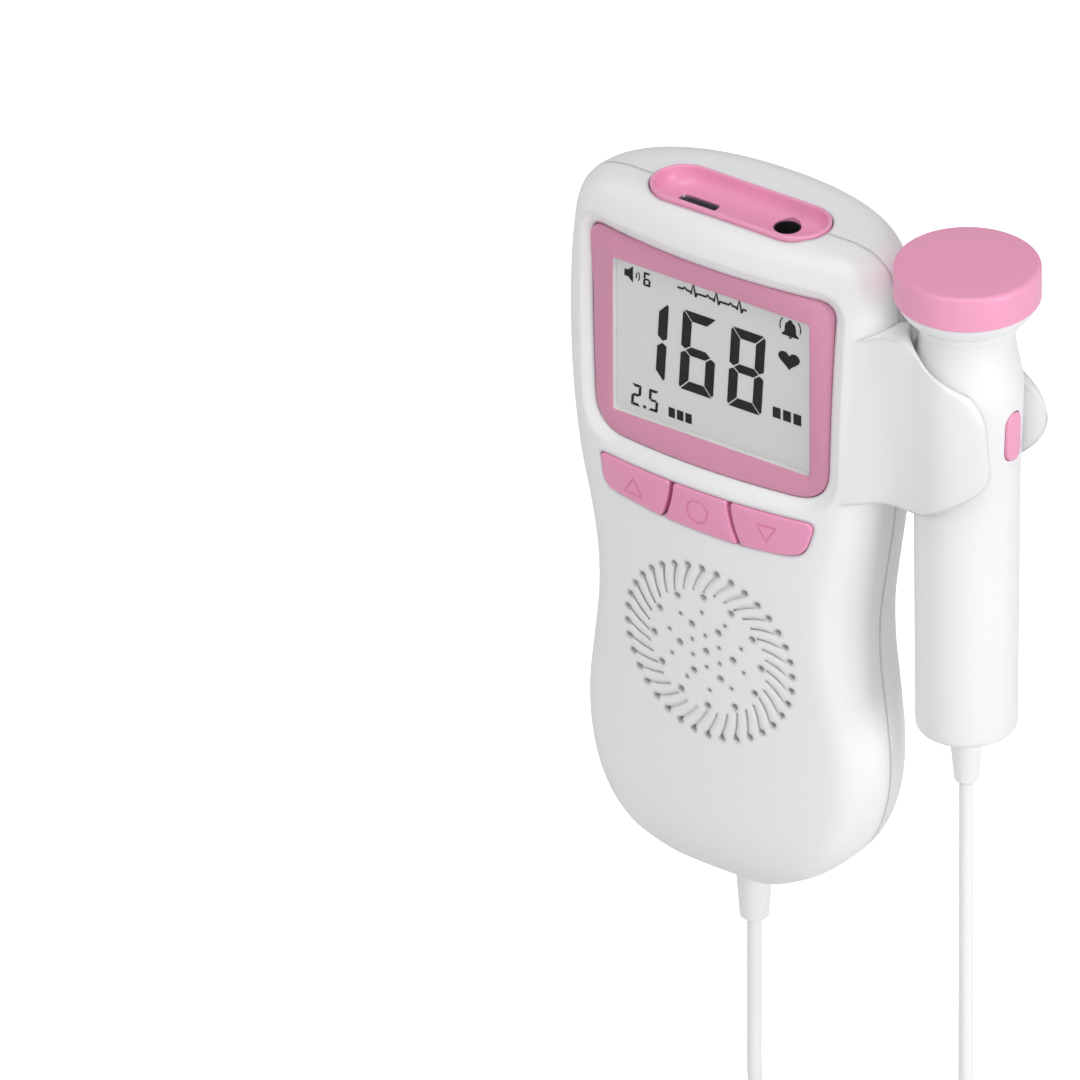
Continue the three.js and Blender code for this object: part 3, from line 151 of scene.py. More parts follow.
class DopplerGrilleSizes(bpy.types.PropertyGroup):
    """Sizes of the speaker grille"""

    height: length("Height", "Middle of the grille above the foot", 51.4)
    radius: length("Radius", "Radius of the outer ring of drops", 17.2)
    hole: length("Hole", "Radius of a large hole", 0.66)
    small_hole: length("Small hole", "Radius of a small hole", 0.4)
    tail_depth: length("Tail depth", "Depth of the drops' tails", 0.45)
    drops: IntProperty(name="Drops", description="Number of drops in the outer ring", default=36, min=3)


class DopplerProbeSizes(bpy.types.PropertyGroup):
    """Sizes of the probe and its clip"""

    x: length("Probe X", "The probe's axis to the right of the cable line", 45.5)
    y: length("Probe Y", "The probe's axis behind the cable line", -1.5)
    cap_radius: length("Cap radius", "Radius of the pink cap", 12.8)
    cap_top: length("Cap top", "Top of the cap above the body's foot", 138)
    cap_height: length("Cap height", "Height of the cap", 6.6)
    collar_foot: length("Collar foot", "Foot of the head above the body's foot", 126)
    neck_radius: length("Neck radius", "Radius of the neck", 8.3)
    grip_radius: length("Grip radius", "Largest radius of the handle", 9.8)
    handle_foot: length("Handle foot", "Foot of the handle above the body's foot", 45.5)
    bore: length("Clip bore", "Radius inside the clip", 10.05)
    clip_depth: length("Clip half depth", "From the probe's axis to the outside of an arm", 11.3)
    clip_bottom: length("Clip bottom", "Foot of the clip above the body's foot", 92.1)
    clip_top: length("Clip top", "Top of the clip above the body's foot", 126)


class DopplerCordSizes(bpy.types.PropertyGroup):
    """Sizes of the cable"""

    diameter: length("Diameter", "Diameter of the cable", 2.6)
    whole_length: length("Length", "Real length of the cable", 1000)
    hank_height: length("Hank height", "Middle of the hank above the body's foot", -78)
    hank_end: length("Hank end radius", "Radius of the bends at the ends of the hank", 7)
    hank_pitch: length("Hank pitch", "From one turn to the next", 3.05)
    hank_turns: IntProperty(name="Turns", description="Turns of the hank", default=7, min=1)


class DopplerColours(bpy.types.PropertyGroup):
    """Colours of the finishes"""

    housing: colour("Housing", "White ABS of the shells and the probe", "#F7F7F8")
    trim: colour("Trim", "Pink ABS of the tray, the cap and the probe's button", "#F8A6C9")
    keys: colour("Keys", "Pink ABS of the keys", "#F39FC4")
    frame: colour("Frame", "Pink ABS of the screen frame", "#DC94B2")
    display: colour("Display", "Unlit ground of the display", "#E2E3E1")
    ink: colour("Segments", "Dark segments of the display", "#2A2526")
    cable: colour("Cable", "White PVC of the cable", "#FBFBFA")


# Forms. These tables began as the CAD's. The lowest levels of the body, the bow of the seam and the
# root of the front arm have been brought nearer to the photograph since.

# Share of the body's height, then shares of the half width at the seam, the half width of the face,
# the front depth and the rear depth
BODY_LEVEL_SHARES = (
    (0.0, 0.1, 0.08, 0.17, 0.24),
    (0.009, 0.23, 0.173, 0.29, 0.4),
    (0.022, 0.335, 0.255, 0.44, 0.55),
    (0.044, 0.458, 0.395, 0.65, 0.7),
    (0.074, 0.625, 0.598, 0.8, 0.813),
    (0.118, 0.79, 0.765, 0.86, 0.913),
    (0.176, 0.887, 0.865, 0.865, 0.979),
    (0.243, 0.916, 0.886, 0.862, 1.0),
    (0.316, 0.89, 0.836, 0.868, 1.0),
    (0.39, 0.853, 0.784, 0.903, 0.993),
    (0.456, 0.85, 0.777, 0.94, 0.987),
    (0.522, 0.886, 0.811, 0.975, 0.98),
    (0.603, 0.937, 0.899, 0.998, 0.98),
    (0.691, 0.976, 0.959, 1.0, 0.975),
    (0.787, 0.997, 0.993, 0.976, 0.968),
    (0.868, 1.0, 1.0, 0.935, 0.955),
    (0.926, 0.985, 0.99, 0.891, 0.93),
    (0.9595, 0.955, 0.966, 0.862, 0.897),
    (0.9815, 0.905, 0.912, 0.812, 0.833),
    (0.995, 0.82, 0.82, 0.715, 0.73),
    (1.0, 0.72, 0.71, 0.582, 0.603),
)
SIDE_LEAN_SHARE = 0.9  # how steeply the side leaves the front face
REAR_ROUNDNESS = 2.2  # exponent of the rear section: 2 is an ellipse, more is squarer
SEAM_RISE = (0.5, 0.96)  # shares of the height between which the seam bows forward

# Steps between levels, across the face, round a side and round the back, then how often corners are eased
FINE_BODY = (5, 40, 12, 56, 3)
COARSE_BODY = (2, 16, 4, 24, 1)

# The clip seen from above: share of the way from the face's edge to the tip, depth from the probe's
# axis as a share of the clip's half depth
CLIP_PLAN_SHARES = (
    (-0.06, 0.84),
    (0.015, 0.868),
    (0.09, 0.892),
    (0.2, 0.906),
    (0.31, 0.89),
    (0.4, 0.885),
    (0.478, 0.924),
    (0.59, 0.982),
    (0.663, 0.996),
    (0.755, 0.969),
    (0.867, 0.894),
    (0.952, 0.815),
    (1, 0.743),
)
# The arms seen from the front, from the top round the tip to the foot: the same share across, and the
# height as a share from the clip's foot to its top
FRONT_ARM_SHARES = (
    (-0.05, 0.868),
    (0.03, 0.888),
    (0.1, 0.912),
    (0.174, 0.934),
    (0.245, 0.947),
    (0.312, 0.949),
    (0.378, 0.929),
    (0.433, 0.903),
    (0.478, 0.88),
    (0.526, 0.85),
    (0.61, 0.817),
    (0.7, 0.788),
    (0.817, 0.736),
    (0.88, 0.69),
    (0.923, 0.64),
    (0.948, 0.56),
    (0.963, 0.43),
    (0.982, 0.327),
    (0.958, 0.26),
    (0.9, 0.194),
    (0.74, 0.098),
    (0.64, 0.045),
    (0.526, -0.003),
    (0.418, -0.023),
    (0.22, -0.025),
    (0.06, -0.055),
    (-0.06, -0.083),
)
REAR_ARM_SHARES = (
    (0.34, 0.82),
    (0.5, 0.73),
    (0.63, 0.655),
    (0.73, 0.612),
    (0.792, 0.588),
    (0.889, 0.55),
    (0.971, 0.487),
    (1, 0.42),
    (0.96, 0.33),
    (0.889, 0.24),
    (0.83, 0.193),
    (0.66, 0.077),
    (0.537, 0.018),
    (0.34, 0),
)
ARM_START_SHARE = -0.2  # both arms begin inside the body
CLIP_TIP_REACH = 11.1 * MM  # from the probe's axis
CLIP_MOUTH = math.radians(53.5)  # half the opening of the C, seen from the probe's axis
ARM_ROOT_END = (38 * MM, -11.38 * MM)  # where the front arm has left the curve of the face
ARM_ROOT_CLEAR = 39.2 * MM  # from here on the front arm mirrors the rear one

# Share of the grille's radius, count, first angle in degrees, large hole or small
GRILLE_RINGS = (
    (0, 1, 0, True),
    (0.322, 6, 0, True),
    (0.65, 12, 0, True),
    (0.188, 6, 30, False),
    (0.46, 10, 21.6, False),
)
# The tail of a drop: share of the grille's radius, turn from the drop in radians, half width in mm
GRILLE_TAIL = ((0.965, 0.0, 0.25), (0.84, 0.085, 0.23), (0.715, 0.17, 0.2))


def eased(a, slope_a, b, slope_b, span, t):
    """A smooth step from a to b over a span, with a slope at each end, at a share t of the way."""
    return (
        a * (2 * t**3 - 3 * t**2 + 1)
        + slope_a * span * (t**3 - 2 * t**2 + t)
        + b * (3 * t**2 - 2 * t**3)
        + slope_b * span * (t**3 - t**2)
    )


def level_at(share):
    """Width and depth shares of the body at a share of its height, on a smooth curve."""
    rows = BODY_LEVEL_SHARES
    last = len(rows) - 1
    i = next((k for k in range(1, last) if rows[k][0] >= share), last)
    a, b = rows[i - 1], rows[i]
    before, after = rows[max(i - 2, 0)], rows[min(i + 1, last)]
    span = b[0] - a[0]
    found = []
    for k in range(1, 5):
        slope_a = (b[k] - before[k]) / (b[0] - before[0])
        slope_b = (after[k] - a[k]) / (after[0] - a[0])
        found.append(eased(a[k], slope_a, b[k], slope_b, span, (share - a[0]) / span))
    return found


def seam_at(share):
    """The seam's setback at a share of the body's height."""
    s = bpy.context.scene.doppler_body
    low, high = SEAM_RISE
    t = min(max((share - low) / (high - low), 0), 1)
    return s.seam + (s.seam_top - s.seam) * t * t * (3 - 2 * t)


def soften(points, times):
    """A closed outline with its corners eased, by averaging each point with its neighbours."""
    for _ in range(times):
        n = len(points)
        points = [points[i - 1] * 0.25 + points[i] * 0.5 + points[(i + 1) % n] * 0.25 for i in range(n)]
    return points


def body_section(share, face_steps, side_steps, rear_steps):
    """One level section in X and Y, anticlockwise from the right-hand seam."""
    s = bpy.context.scene.doppler_body
    width_share, face_share, front_share, rear_share = level_at(share)
    half = s.half_width * width_share
    face = min(s.face_half_width * face_share, half)
    front = s.front_depth * front_share
    seam = seam_at(share)
    rear = s.rear_depth * rear_share + seam
    edge = front - face**2 / (2 * s.face_radius)
    power = 2 / REAR_ROUNDNESS
    outline = []
    for i in range(rear_steps + 1):
        angle = math.pi * i / rear_steps
        c, n = math.cos(angle), max(math.sin(angle), 0.0)
        outline.append(Vector((half * math.copysign(abs(c) ** power, c), -seam + rear * n**power)))
    bend = max(edge - (half - face) * SIDE_LEAN_SHARE, seam)
    side = []
    for i in range(1, side_steps + 1):
        t = i / side_steps
        x = half * (1 - t) ** 2 + 2 * half * t * (1 - t) + face * t**2
        y = -seam * (1 - t) ** 2 - 2 * bend * t * (1 - t) - edge * t**2
        side.append(Vector((x, y)))
    outline += [Vector((-p.x, p.y)) for p in side]
    for i in range(1, face_steps):
        x = -face + 2 * face * i / face_steps
        outline.append(Vector((x, -front + x**2 / (2 * s.face_radius))))
    return outline + side[::-1]


def body_rings(inset, level_steps, face_steps, side_steps, rear_steps, easing):
    """Rings of the whole body form, drawn in by an inset, with its ends closed by smaller rings."""
    s = bpy.context.scene.doppler_body
    wide = 1 - inset / s.half_width
    front = (s.front_depth - s.seam - inset) / (s.front_depth - s.seam)
    rear = (s.rear_depth + s.seam - inset) / (s.rear_depth + s.seam)
    tall = 1 - 2 * inset / s.height
    shares = [row[0] for row in BODY_LEVEL_SHARES]
    levels = []
    for a, b in zip(shares, shares[1:]):
        levels += [a + (b - a) * k / level_steps for k in range(level_steps)]
    rings = []
    for share in levels + [1.0]:
        z = s.height * share * tall + inset
        seam = seam_at(share)
        ring = []
        for p in soften(body_section(share, face_steps, side_steps, rear_steps), easing):
            deep = front if p.y < -seam else rear
            ring.append(at(p.x * wide, (p.y + seam) * deep - seam, z))
        rings.append(ring)

    def shrunk(ring):
        centre = sum(ring, Vector()) / len(ring)
        return [[centre + (p - centre) * share for p in ring] for share in (0.85, 0.6, 0.3)]

    return shrunk(rings[0])[::-1] + rings + shrunk(rings[-1])


def face_depth(x, z):
    """Depth of the front face in front of the cable line, at a height above the foot."""
    s = bpy.context.scene.doppler_body
    return s.front_depth * level_at(min(max(z / s.height, 0), 1))[2] - x**2 / (2 * s.face_radius)


# Points and outlines


def at(x, y, z):
    """A point from its height above the body's foot: the frame's origin lies in the waist."""
    return Vector((x, y, z - bpy.context.scene.doppler_body.grip_height))


def on_face(outline, sunk):
    """An outline laid on the front face, sunk by a depth."""
    return [at(p.x, -(face_depth(p.x, p.y) - sunk), p.y) for p in outline]


def at_depth(outline, depth):
    """An outline laid flat at a depth in front of the cable line."""
    return [at(p.x, -depth, p.y) for p in outline]


def circle(x, y, radius, steps):
    """Points round a circle."""
    turns = [2 * math.pi * k / steps for k in range(steps)]
    return [Vector((x + radius * math.cos(a), y + radius * math.sin(a))) for a in turns]


def quarter_round(steps):
    """A fillet in steps: how far in and how far from its end, as shares of its radius."""
    turns = [math.pi / 2 * k / steps for k in range(steps + 1)]
    return [(1 - math.cos(a), 1 - math.sin(a)) for a in turns]


def stadium(half_length, half_width, y, steps=24):
    """A slot with round ends, along X and centred at a depth."""
    outline = []
    for side in (1, -1):
        for i in range(steps + 1):
            angle = -side * math.pi / 2 + math.pi * i / steps
            x = side * (half_length - half_width) + half_width * math.cos(angle)
            outline.append(Vector((x, y + half_width * math.sin(angle))))
    return outline


def rounded_outline(corners, corner_steps=8, side_steps=1):
    """A closed outline through corners given as (across, up, corner radius)."""
    n = len(corners)
    at = [Vector(c[:2]) for c in corners]
    ends = []
    for i, (_, _, radius) in enumerate(corners):
        before, after = at[i - 1] - at[i], at[(i + 1) % n] - at[i]
        reach = min(radius, before.length / 2, after.length / 2)
        ends.append((at[i] + before.normalized() * reach, at[i] + after.normalized() * reach))
    outline = []
    for i in range(n):
        start, end = ends[i]
        for k in range(corner_steps + 1):
            t = k / corner_steps
            outline.append(start * (1 - t) ** 2 + at[i] * 2 * t * (1 - t) + end * t**2)
        nearest = ends[(i + 1) % n][0]
        outline += [end.lerp(nearest, k / side_steps) for k in range(1, side_steps)]
    return [p for i, p in enumerate(outline) if (p - outline[i - 1]).length > 1e-6]


def even_outline(points, count):
    """A closed outline sampled at even steps."""
    n = len(points)
    steps = [(points[(i + 1) % n] - points[i]).length for i in range(n)]
    total, found, i, walked = sum(steps), [], 0, 0.0
    for k in range(count):
        want = total * k / count
        while walked + steps[i] < want:
            walked += steps[i]
            i += 1
        found.append(points[i].lerp(points[(i + 1) % n], (want - walked) / steps[i]))
    return found


def grown(outline, distance):
    """An anticlockwise outline let out along its normals."""
    n = len(outline)
    found = []
    for i, p in enumerate(outline):
        along = (outline[(i + 1) % n] - outline[i - 1]).normalized()
        found.append(p + Vector((along.y, -along.x)) * distance)
    return found


def curve_through(points, steps):
    """Points on a smooth curve through the given ones."""
    found = []
    for i in range(len(points) - 1):
        p0, p1, p2 = points[max(i - 1, 0)], points[i], points[i + 1]
        p3 = points[min(i + 2, len(points) - 1)]
        square, cube = 2 * p0 - 5 * p1 + 4 * p2 - p3, 3 * p1 - p0 - 3 * p2 + p3
        for k in range(steps):
            t = k / steps
            found.append(0.5 * (2 * p1 + (p2 - p0) * t + square * t**2 + cube * t**3))
    return found + [points[-1]]


# Meshes


def placed(name, data):
    """A new object of the scene."""
    found = bpy.data.objects.new(name, data)
    bpy.context.scene.collection.objects.link(found)
    return found


def mesh_object(name, points, faces):
    """A mesh with its doubled points joined and its faces turned outwards."""
    mesh = bpy.data.meshes.new(name)
    mesh.from_pydata([tuple(p) for p in points], [], faces)
    bm = bmesh.new()
    bm.from_mesh(mesh)
    bmesh.ops.remove_doubles(bm, verts=bm.verts, dist=1e-6)
    bmesh.ops.recalc_face_normals(bm, faces=bm.faces)
    bm.to_mesh(mesh)
    bm.free()
    return placed(name, mesh)


def loft(name, rings, looped=False):
    """A closed surface through rings of equally many points."""
    count = len(rings[0])
    points = [p for ring in rings for p in ring]
    faces = []
    for r in range(len(rings) if looped else len(rings) - 1):
        n = (r + 1) % len(rings)
        for i in range(count):
            j = (i + 1) % count
            faces.append((r * count + i, r * count + j, n * count + j, n * count + i))
    if not looped:
        for r in (0, len(rings) - 1):
            points.append(sum(rings[r], Vector()) / count)
            middle = len(points) - 1
            faces += [(r * count + i, r * count + (i + 1) % count, middle) for i in range(count)]
    return mesh_object(name, points, faces)


def loft_flat(name, rings):
    """Two flat rings joined by walls, each closed by one face."""
    n = len(rings[0])
    faces = [(i, (i + 1) % n, n + (i + 1) % n, n + i) for i in range(n)]
    return mesh_object(name, rings[0] + rings[1], faces + [tuple(range(n)), tuple(range(n, 2 * n))])


def turned(name, profile, x, y, segments=96):
    """A profile of radius and height turned round an upright axis. It is closed on the axis or on itself."""
    axis = 0.002 * MM
    rings = [[at(p.x, p.y, z) for p in circle(x, y, max(radius, axis), segments)] for radius, z in profile]
    return loft(name, rings, looped=profile[0][0] > 5 * axis)


def slab(name, outline, y0, y1):
    """An outline of X and height above the foot, from one depth to another along Y."""
    return loft_flat(name, [[at(x, y, z) for x, z in outline] for y in (y0, y1)])


def column(name, outline, z_low, z_high):
    """An outline in X and Y, from one height above the foot to another."""
    return loft_flat(name, [[at(x, y, z) for x, y in outline] for z in (z_low, z_high)])


def bar_y(name, radius, x, z, y0, y1, sides):
    """A round bar along Y, at a height above the foot."""
    turns = [2 * math.pi * k / sides for k in range(sides)]
    rim = [(x + radius * math.cos(a), radius * math.sin(a)) for a in turns]
    return loft_flat(name, [[at(across, y, z + up) for across, up in rim] for y in (y0, y1)])


def joined(name, pieces):
    """Several separate meshes as one."""
    bm = bmesh.new()
    for piece in pieces:
        bm.from_mesh(piece.data)
        bpy.data.objects.remove(piece)
    mesh = bpy.data.meshes.new(name)
    bm.to_mesh(mesh)
    bm.free()
    return placed(name, mesh)


def apply_modifiers(piece):
    """Works a piece's modifiers into its mesh."""
    depsgraph = bpy.context.evaluated_depsgraph_get()
    mesh = bpy.data.meshes.new_from_object(piece.evaluated_get(depsgraph))
    piece.modifiers.clear()
    piece.data = mesh


def combine(piece, operation, *others):
    """The piece after a boolean with each of the others, which are used up.

    The boolean is worked out in millimetres, where its tolerances fit the piece.
    """
    for other in others:
        piece.data.transform(Matrix.Scale(1 / MM, 4))
        other.data.transform(Matrix.Scale(1 / MM, 4))
        modifier = piece.modifiers.new("Combine", "BOOLEAN")
        modifier.operation = operation
        modifier.solver = "MANIFOLD"
        modifier.object = other
        apply_modifiers(piece)
        piece.data.transform(Matrix.Scale(MM, 4))
        bpy.data.objects.remove(other)
        if not piece.data.polygons:
            raise RuntimeError(f"{piece.name} came out of a boolean empty")
    return piece


def rounded(piece, width):
    """The piece with its sharp edges rounded."""
    bm = bmesh.new()
    bm.from_mesh(piece.data)
    bmesh.ops.remove_doubles(bm, verts=bm.verts, dist=2e-5)
    bmesh.ops.dissolve_limit(bm, angle_limit=math.radians(1), verts=bm.verts, edges=bm.edges)
    bm.to_mesh(piece.data)
    bm.free()
    modifier = piece.modifiers.new("Round", "BEVEL")
    modifier.width = width
    modifier.segments = 3
    modifier.limit_method = "ANGLE"
    modifier.angle_limit = math.radians(35)
    apply_modifiers(piece)
    return piece


def dressed(piece, finish, slot, body, *nodes, angle=32):
    """Gives a finished mesh its material and shading, and puts it on its body in place of CAD nodes."""
    piece.data.materials.clear()
    piece.data.materials.append(material_of(finish))
    piece.data.shade_smooth()
    piece.data.set_sharp_from_angle(angle=math.radians(angle))
    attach(piece, body)
    if nodes:
        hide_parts(*nodes)


# Materials

GRAIN_PLASTIC = 0.35  # mm: a spark-eroded grain is finer than 0.1 mm, and is drawn coarser to show
DRIFT = 24 * MM  # size of the faint patches in a plastic's colour


def add_node(tree, kind, settings=None, links=None):
    """Adds a node, sets its properties and input values, and links its inputs."""
    node = tree.nodes.new(kind)
    for name, value in (settings or {}).items():
        if isinstance(name, int) or name in node.inputs:
            node.inputs[name].default_value = value
        else:
            setattr(node, name, value)
    for name, source in (links or {}).items():
        tree.links.new(source, node.inputs[name])
    return node


def new_material(name):
    """A material without nodes, and its node tree."""
    material = bpy.data.materials.new(name)
    material.use_nodes = True
    material.node_tree.nodes.clear()
    return material, material.node_tree


def moulded_plastic(name, base, roughness, ior, grain_mm, bump, tint=0.03, blend=0.0):
    """Injection-moulded plastic: a spark-eroded grain, and a faint drift in colour and gloss."""
    material, tree = new_material(name)
    place = add_node(tree, "ShaderNodeTexCoord").outputs["Object"]
    drift = add_node(tree, "ShaderNodeTexNoise", {"Scale": 1 / DRIFT, "Detail": 3.0}, {"Vector": place})
    fine = {"Scale": 1 / (grain_mm * MM), "Detail": 2.0}
    grain = add_node(tree, "ShaderNodeTexNoise", fine, {"Vector": place})
    light = tuple(base[:3]) + (1.0,)
    dark = tuple(c * (1 - tint) for c in base[:3]) + (1.0,)
    tone = add_node(
        tree,
        "ShaderNodeMix",
        {"data_type": "RGBA", 6: dark, 7: light},
        {0: drift.outputs["Fac"]},
    )
    gloss = add_node(
        tree,
        "ShaderNodeMapRange",
        {"To Min": roughness - 0.04, "To Max": roughness + 0.05},
        {"Value": grain.outputs["Fac"]},
    )
    relief = add_node(
        tree,
        "ShaderNodeBump",
        {"Strength": bump, "Distance": 0.02 * MM},
        {"Height": grain.outputs["Fac"]},
    )
    if blend:
        fillet = add_node(tree, "ShaderNodeBevel", {"Radius": blend})
        tree.links.new(fillet.outputs["Normal"], relief.inputs["Normal"])
    shader = add_node(
        tree,
        "ShaderNodeBsdfPrincipled",
        {"IOR": ior},
        {
            "Base Color": tone.outputs[2],
            "Roughness": gloss.outputs["Result"],
            "Normal": relief.outputs["Normal"],
        },
    )
    add_node(tree, "ShaderNodeOutputMaterial", links={"Surface": shader.outputs["BSDF"]})
    return material


def rolled_metal(name, base, roughness):
    """Plated sheet metal: drawn lines along the sheet that stretch the highlight."""
    material, tree = new_material(name)
    place = add_node(tree, "ShaderNodeTexCoord").outputs["Object"]
    # The lines are 4 mm long and 0.15 mm apart, coarser than real ones so that they show
    spacing = (1 / (0.15 * MM), 1 / (0.15 * MM), 1 / (4 * MM))
    lines = add_node(tree, "ShaderNodeMapping", {"Scale": spacing}, {"Vector": place})
    along = {"Vector": lines.outputs["Vector"]}
    drawn = add_node(tree, "ShaderNodeTexNoise", {"Scale": 1.0, "Detail": 2.0}, along)
    gloss = add_node(
        tree,
        "ShaderNodeMapRange",
        {"To Min": roughness - 0.06, "To Max": roughness + 0.08},
        {"Value": drawn.outputs["Fac"]},
    )
    relief = add_node(
        tree,
        "ShaderNodeBump",
        {"Strength": 0.15, "Distance": 0.01 * MM},
        {"Height": drawn.outputs["Fac"]},
    )
    shader = add_node(
        tree,
        "ShaderNodeBsdfPrincipled",
        {"Base Color": base, "Metallic": 1.0},
        {"Roughness": gloss.outputs["Result"], "Normal": relief.outputs["Normal"]},
    )
    add_node(tree, "ShaderNodeOutputMaterial", links={"Surface": shader.outputs["BSDF"]})
    return material


def clear_pmma(name):
    """Thin anti-glare acrylic window: light goes straight through, and a weak reflection stays."""
    material, tree = new_material(name)
    place = add_node(tree, "ShaderNodeTexCoord").outputs["Object"]
    wipe = add_node(tree, "ShaderNodeTexNoise", {"Scale": 1 / (9 * MM), "Detail": 2.0}, {"Vector": place})
    gloss = add_node(
        tree, "ShaderNodeMapRange", {"To Min": 0.05, "To Max": 0.12}, {"Value": wipe.outputs["Fac"]}
    )
    mirror = add_node(
        tree, "ShaderNodeBsdfAnisotropic", {"Color": (1, 1, 1, 1)}, {"Roughness": gloss.outputs["Result"]}
    )
    clear = add_node(tree, "ShaderNodeBsdfTransparent")
    bounce = add_node(tree, "ShaderNodeFresnel", {"IOR": 1.49})
    # The coating takes away more than half of the bare reflection
    weak = {"operation": "MULTIPLY", 1: 0.4}
    coated = add_node(tree, "ShaderNodeMath", weak, {0: bounce.outputs["Fac"]})
    side = add_node(tree, "ShaderNodeNewGeometry")
    front = add_node(
        tree,
        "ShaderNodeMix",
        {"data_type": "FLOAT", 3: 0.0},
        {0: side.outputs["Backfacing"], 2: coated.outputs[0]},
    )
    mixed = add_node(
        tree,
        "ShaderNodeMixShader",
        links={0: front.outputs[0], 1: clear.outputs["BSDF"], 2: mirror.outputs["BSDF"]},
    )
    add_node(tree, "ShaderNodeOutputMaterial", links={"Surface": mixed.outputs["Shader"]})
    return material


def make_materials():
    """Every finish, by the name that the pieces use."""
    c = bpy.context.scene.doppler_colours
    grain = GRAIN_PLASTIC
    fillet = 1.2 * MM
    return {
        # White ABS from a spark-eroded tool: an even satin with soft, wide highlights
        "white_abs": moulded_plastic("white moulded ABS", c.housing, 0.36, 1.54, grain, 0.25),
        # The housing's two halves: the same, with the fillets that lead from the body into the arms
        "housing_abs": moulded_plastic(
            "filleted white ABS", c.housing, 0.36, 1.54, grain, 0.25, 0.03, fillet
        ),
        # Pink ABS, the same grain: the colour goes all through, so edges stay as bright as faces
        "pink_abs": moulded_plastic("pink moulded ABS", c.trim, 0.34, 1.54, grain, 0.25, 0.05),
        # The keys and the frame are given a deeper shade of the same pink
        "key_abs": moulded_plastic("deep pink moulded ABS", c.keys, 0.34, 1.54, grain, 0.25, 0.05),
        "frame_abs": moulded_plastic("dusky pink moulded ABS", c.frame, 0.36, 1.54, grain, 0.25, 0.05),
        "clear_pmma": clear_pmma("clear cast PMMA"),
        # Reflective polariser behind glass: a flat silver grey with a very fine grain
        "display_glass": moulded_plastic("silver polariser film", c.display, 0.5, 1.5, 0.2, 0.1, 0.015),
        # Aligned liquid crystal: a near black that is a little warm. It lies in the glass, so it has
        # next to no gloss of its own
        "display_ink": moulded_plastic("dark liquid crystal", c.ink, 0.5, 1.05, 0.3, 0.0, 0.06),
        # Frosted acrylic that spreads the light: a matt grey white
        "diffuser": moulded_plastic("frosted PMMA light guide", linear("#DFE0DE"), 0.6, 1.49, 0.4, 0.3),
        # Glass-filled nylon: a dull black with fibres just under its skin
        "black_plastic": moulded_plastic(
            "black glass-filled PA66", linear("#202022"), 0.55, 1.53, 0.3, 0.4, 0.1
        ),
        # Solder mask over glass laminate: a green lacquer whose weave just shows
        "board": moulded_plastic("green solder mask on FR4", linear("#1E6B45"), 0.4, 1.5, 0.5, 0.3, 0.12),
        # Bright plating on drawn sheet: a cool grey with a stretched highlight
        "steel": rolled_metal("nickel-plated steel", linear("#C9CCD0"), 0.3),
        # Pressed pulp: matt, nearly black, with a felted surface
        "paper": moulded_plastic("pressed paper cone", linear("#2C2B2C"), 0.9, 1.45, 0.25, 0.6, 0.2),
        # Foil under a clear film: silver with a broad, soft glint
        "pouch": rolled_metal("laminated aluminium pouch", linear("#BFC3C8"), 0.4),
        # Plasticised PVC: softer than ABS, with a slow waxy highlight
        "cable_pvc": moulded_plastic("white soft PVC", c.cable, 0.46, 1.53, 0.5, 0.3, 0.02),
        # Fired and ground ceramic: a dry sand colour without gloss
        "ceramic": moulded_plastic("fired PZT ceramic", linear("#D9C9A2"), 0.7, 1.6, 0.15, 0.4, 0.08),
    }


MADE = {}


def material_of(kind):
    """The material of a kind, made once."""
    if not MADE:
        MADE.update(make_materials())
    return MADE[kind]


# Camera

# The photograph's viewing angle: turn to the right, elevation and roll in degrees
CAMERA_ANGLES = (34.797, 30.671, -0.188)
CAMERA_TARGET = (-21.59, -33.885, 23.927)  # mm
CAMERA_DISTANCE = 7.7681  # m
CAMERA_LENS = 1500  # mm: the photograph has next to no perspective


class DOPPLER_OT_camera(bpy.types.Operator):
    """Adds the camera at the photograph's angle"""

    bl_idname = "doppler.camera"
    bl_label = "Camera"

    def execute(self, context):
        data = bpy.data.cameras.new("camera")
        camera = placed("camera", data)
        data.sensor_width = 36
        data.lens = CAMERA_LENS
        azimuth, elevation, roll = (math.radians(a) for a in CAMERA_ANGLES)
        right = Vector((math.cos(azimuth), math.sin(azimuth), 0))
        flat = math.cos(elevation)
        back = Vector((math.sin(azimuth) * flat, -math.cos(azimuth) * flat, math.sin(elevation)))
        up = back.cross(right)
        across = right * math.cos(roll) + up * math.sin(roll)
        upward = up * math.cos(roll) - right * math.sin(roll)
        camera.location = Vector(CAMERA_TARGET) * MM + back * CAMERA_DISTANCE
        camera.rotation_euler = Matrix((across, upward, back)).transposed().to_euler()
        data.clip_start, data.clip_end = 0.1, 100
        context.scene.camera = camera
        return {"FINISHED"}


# Cable

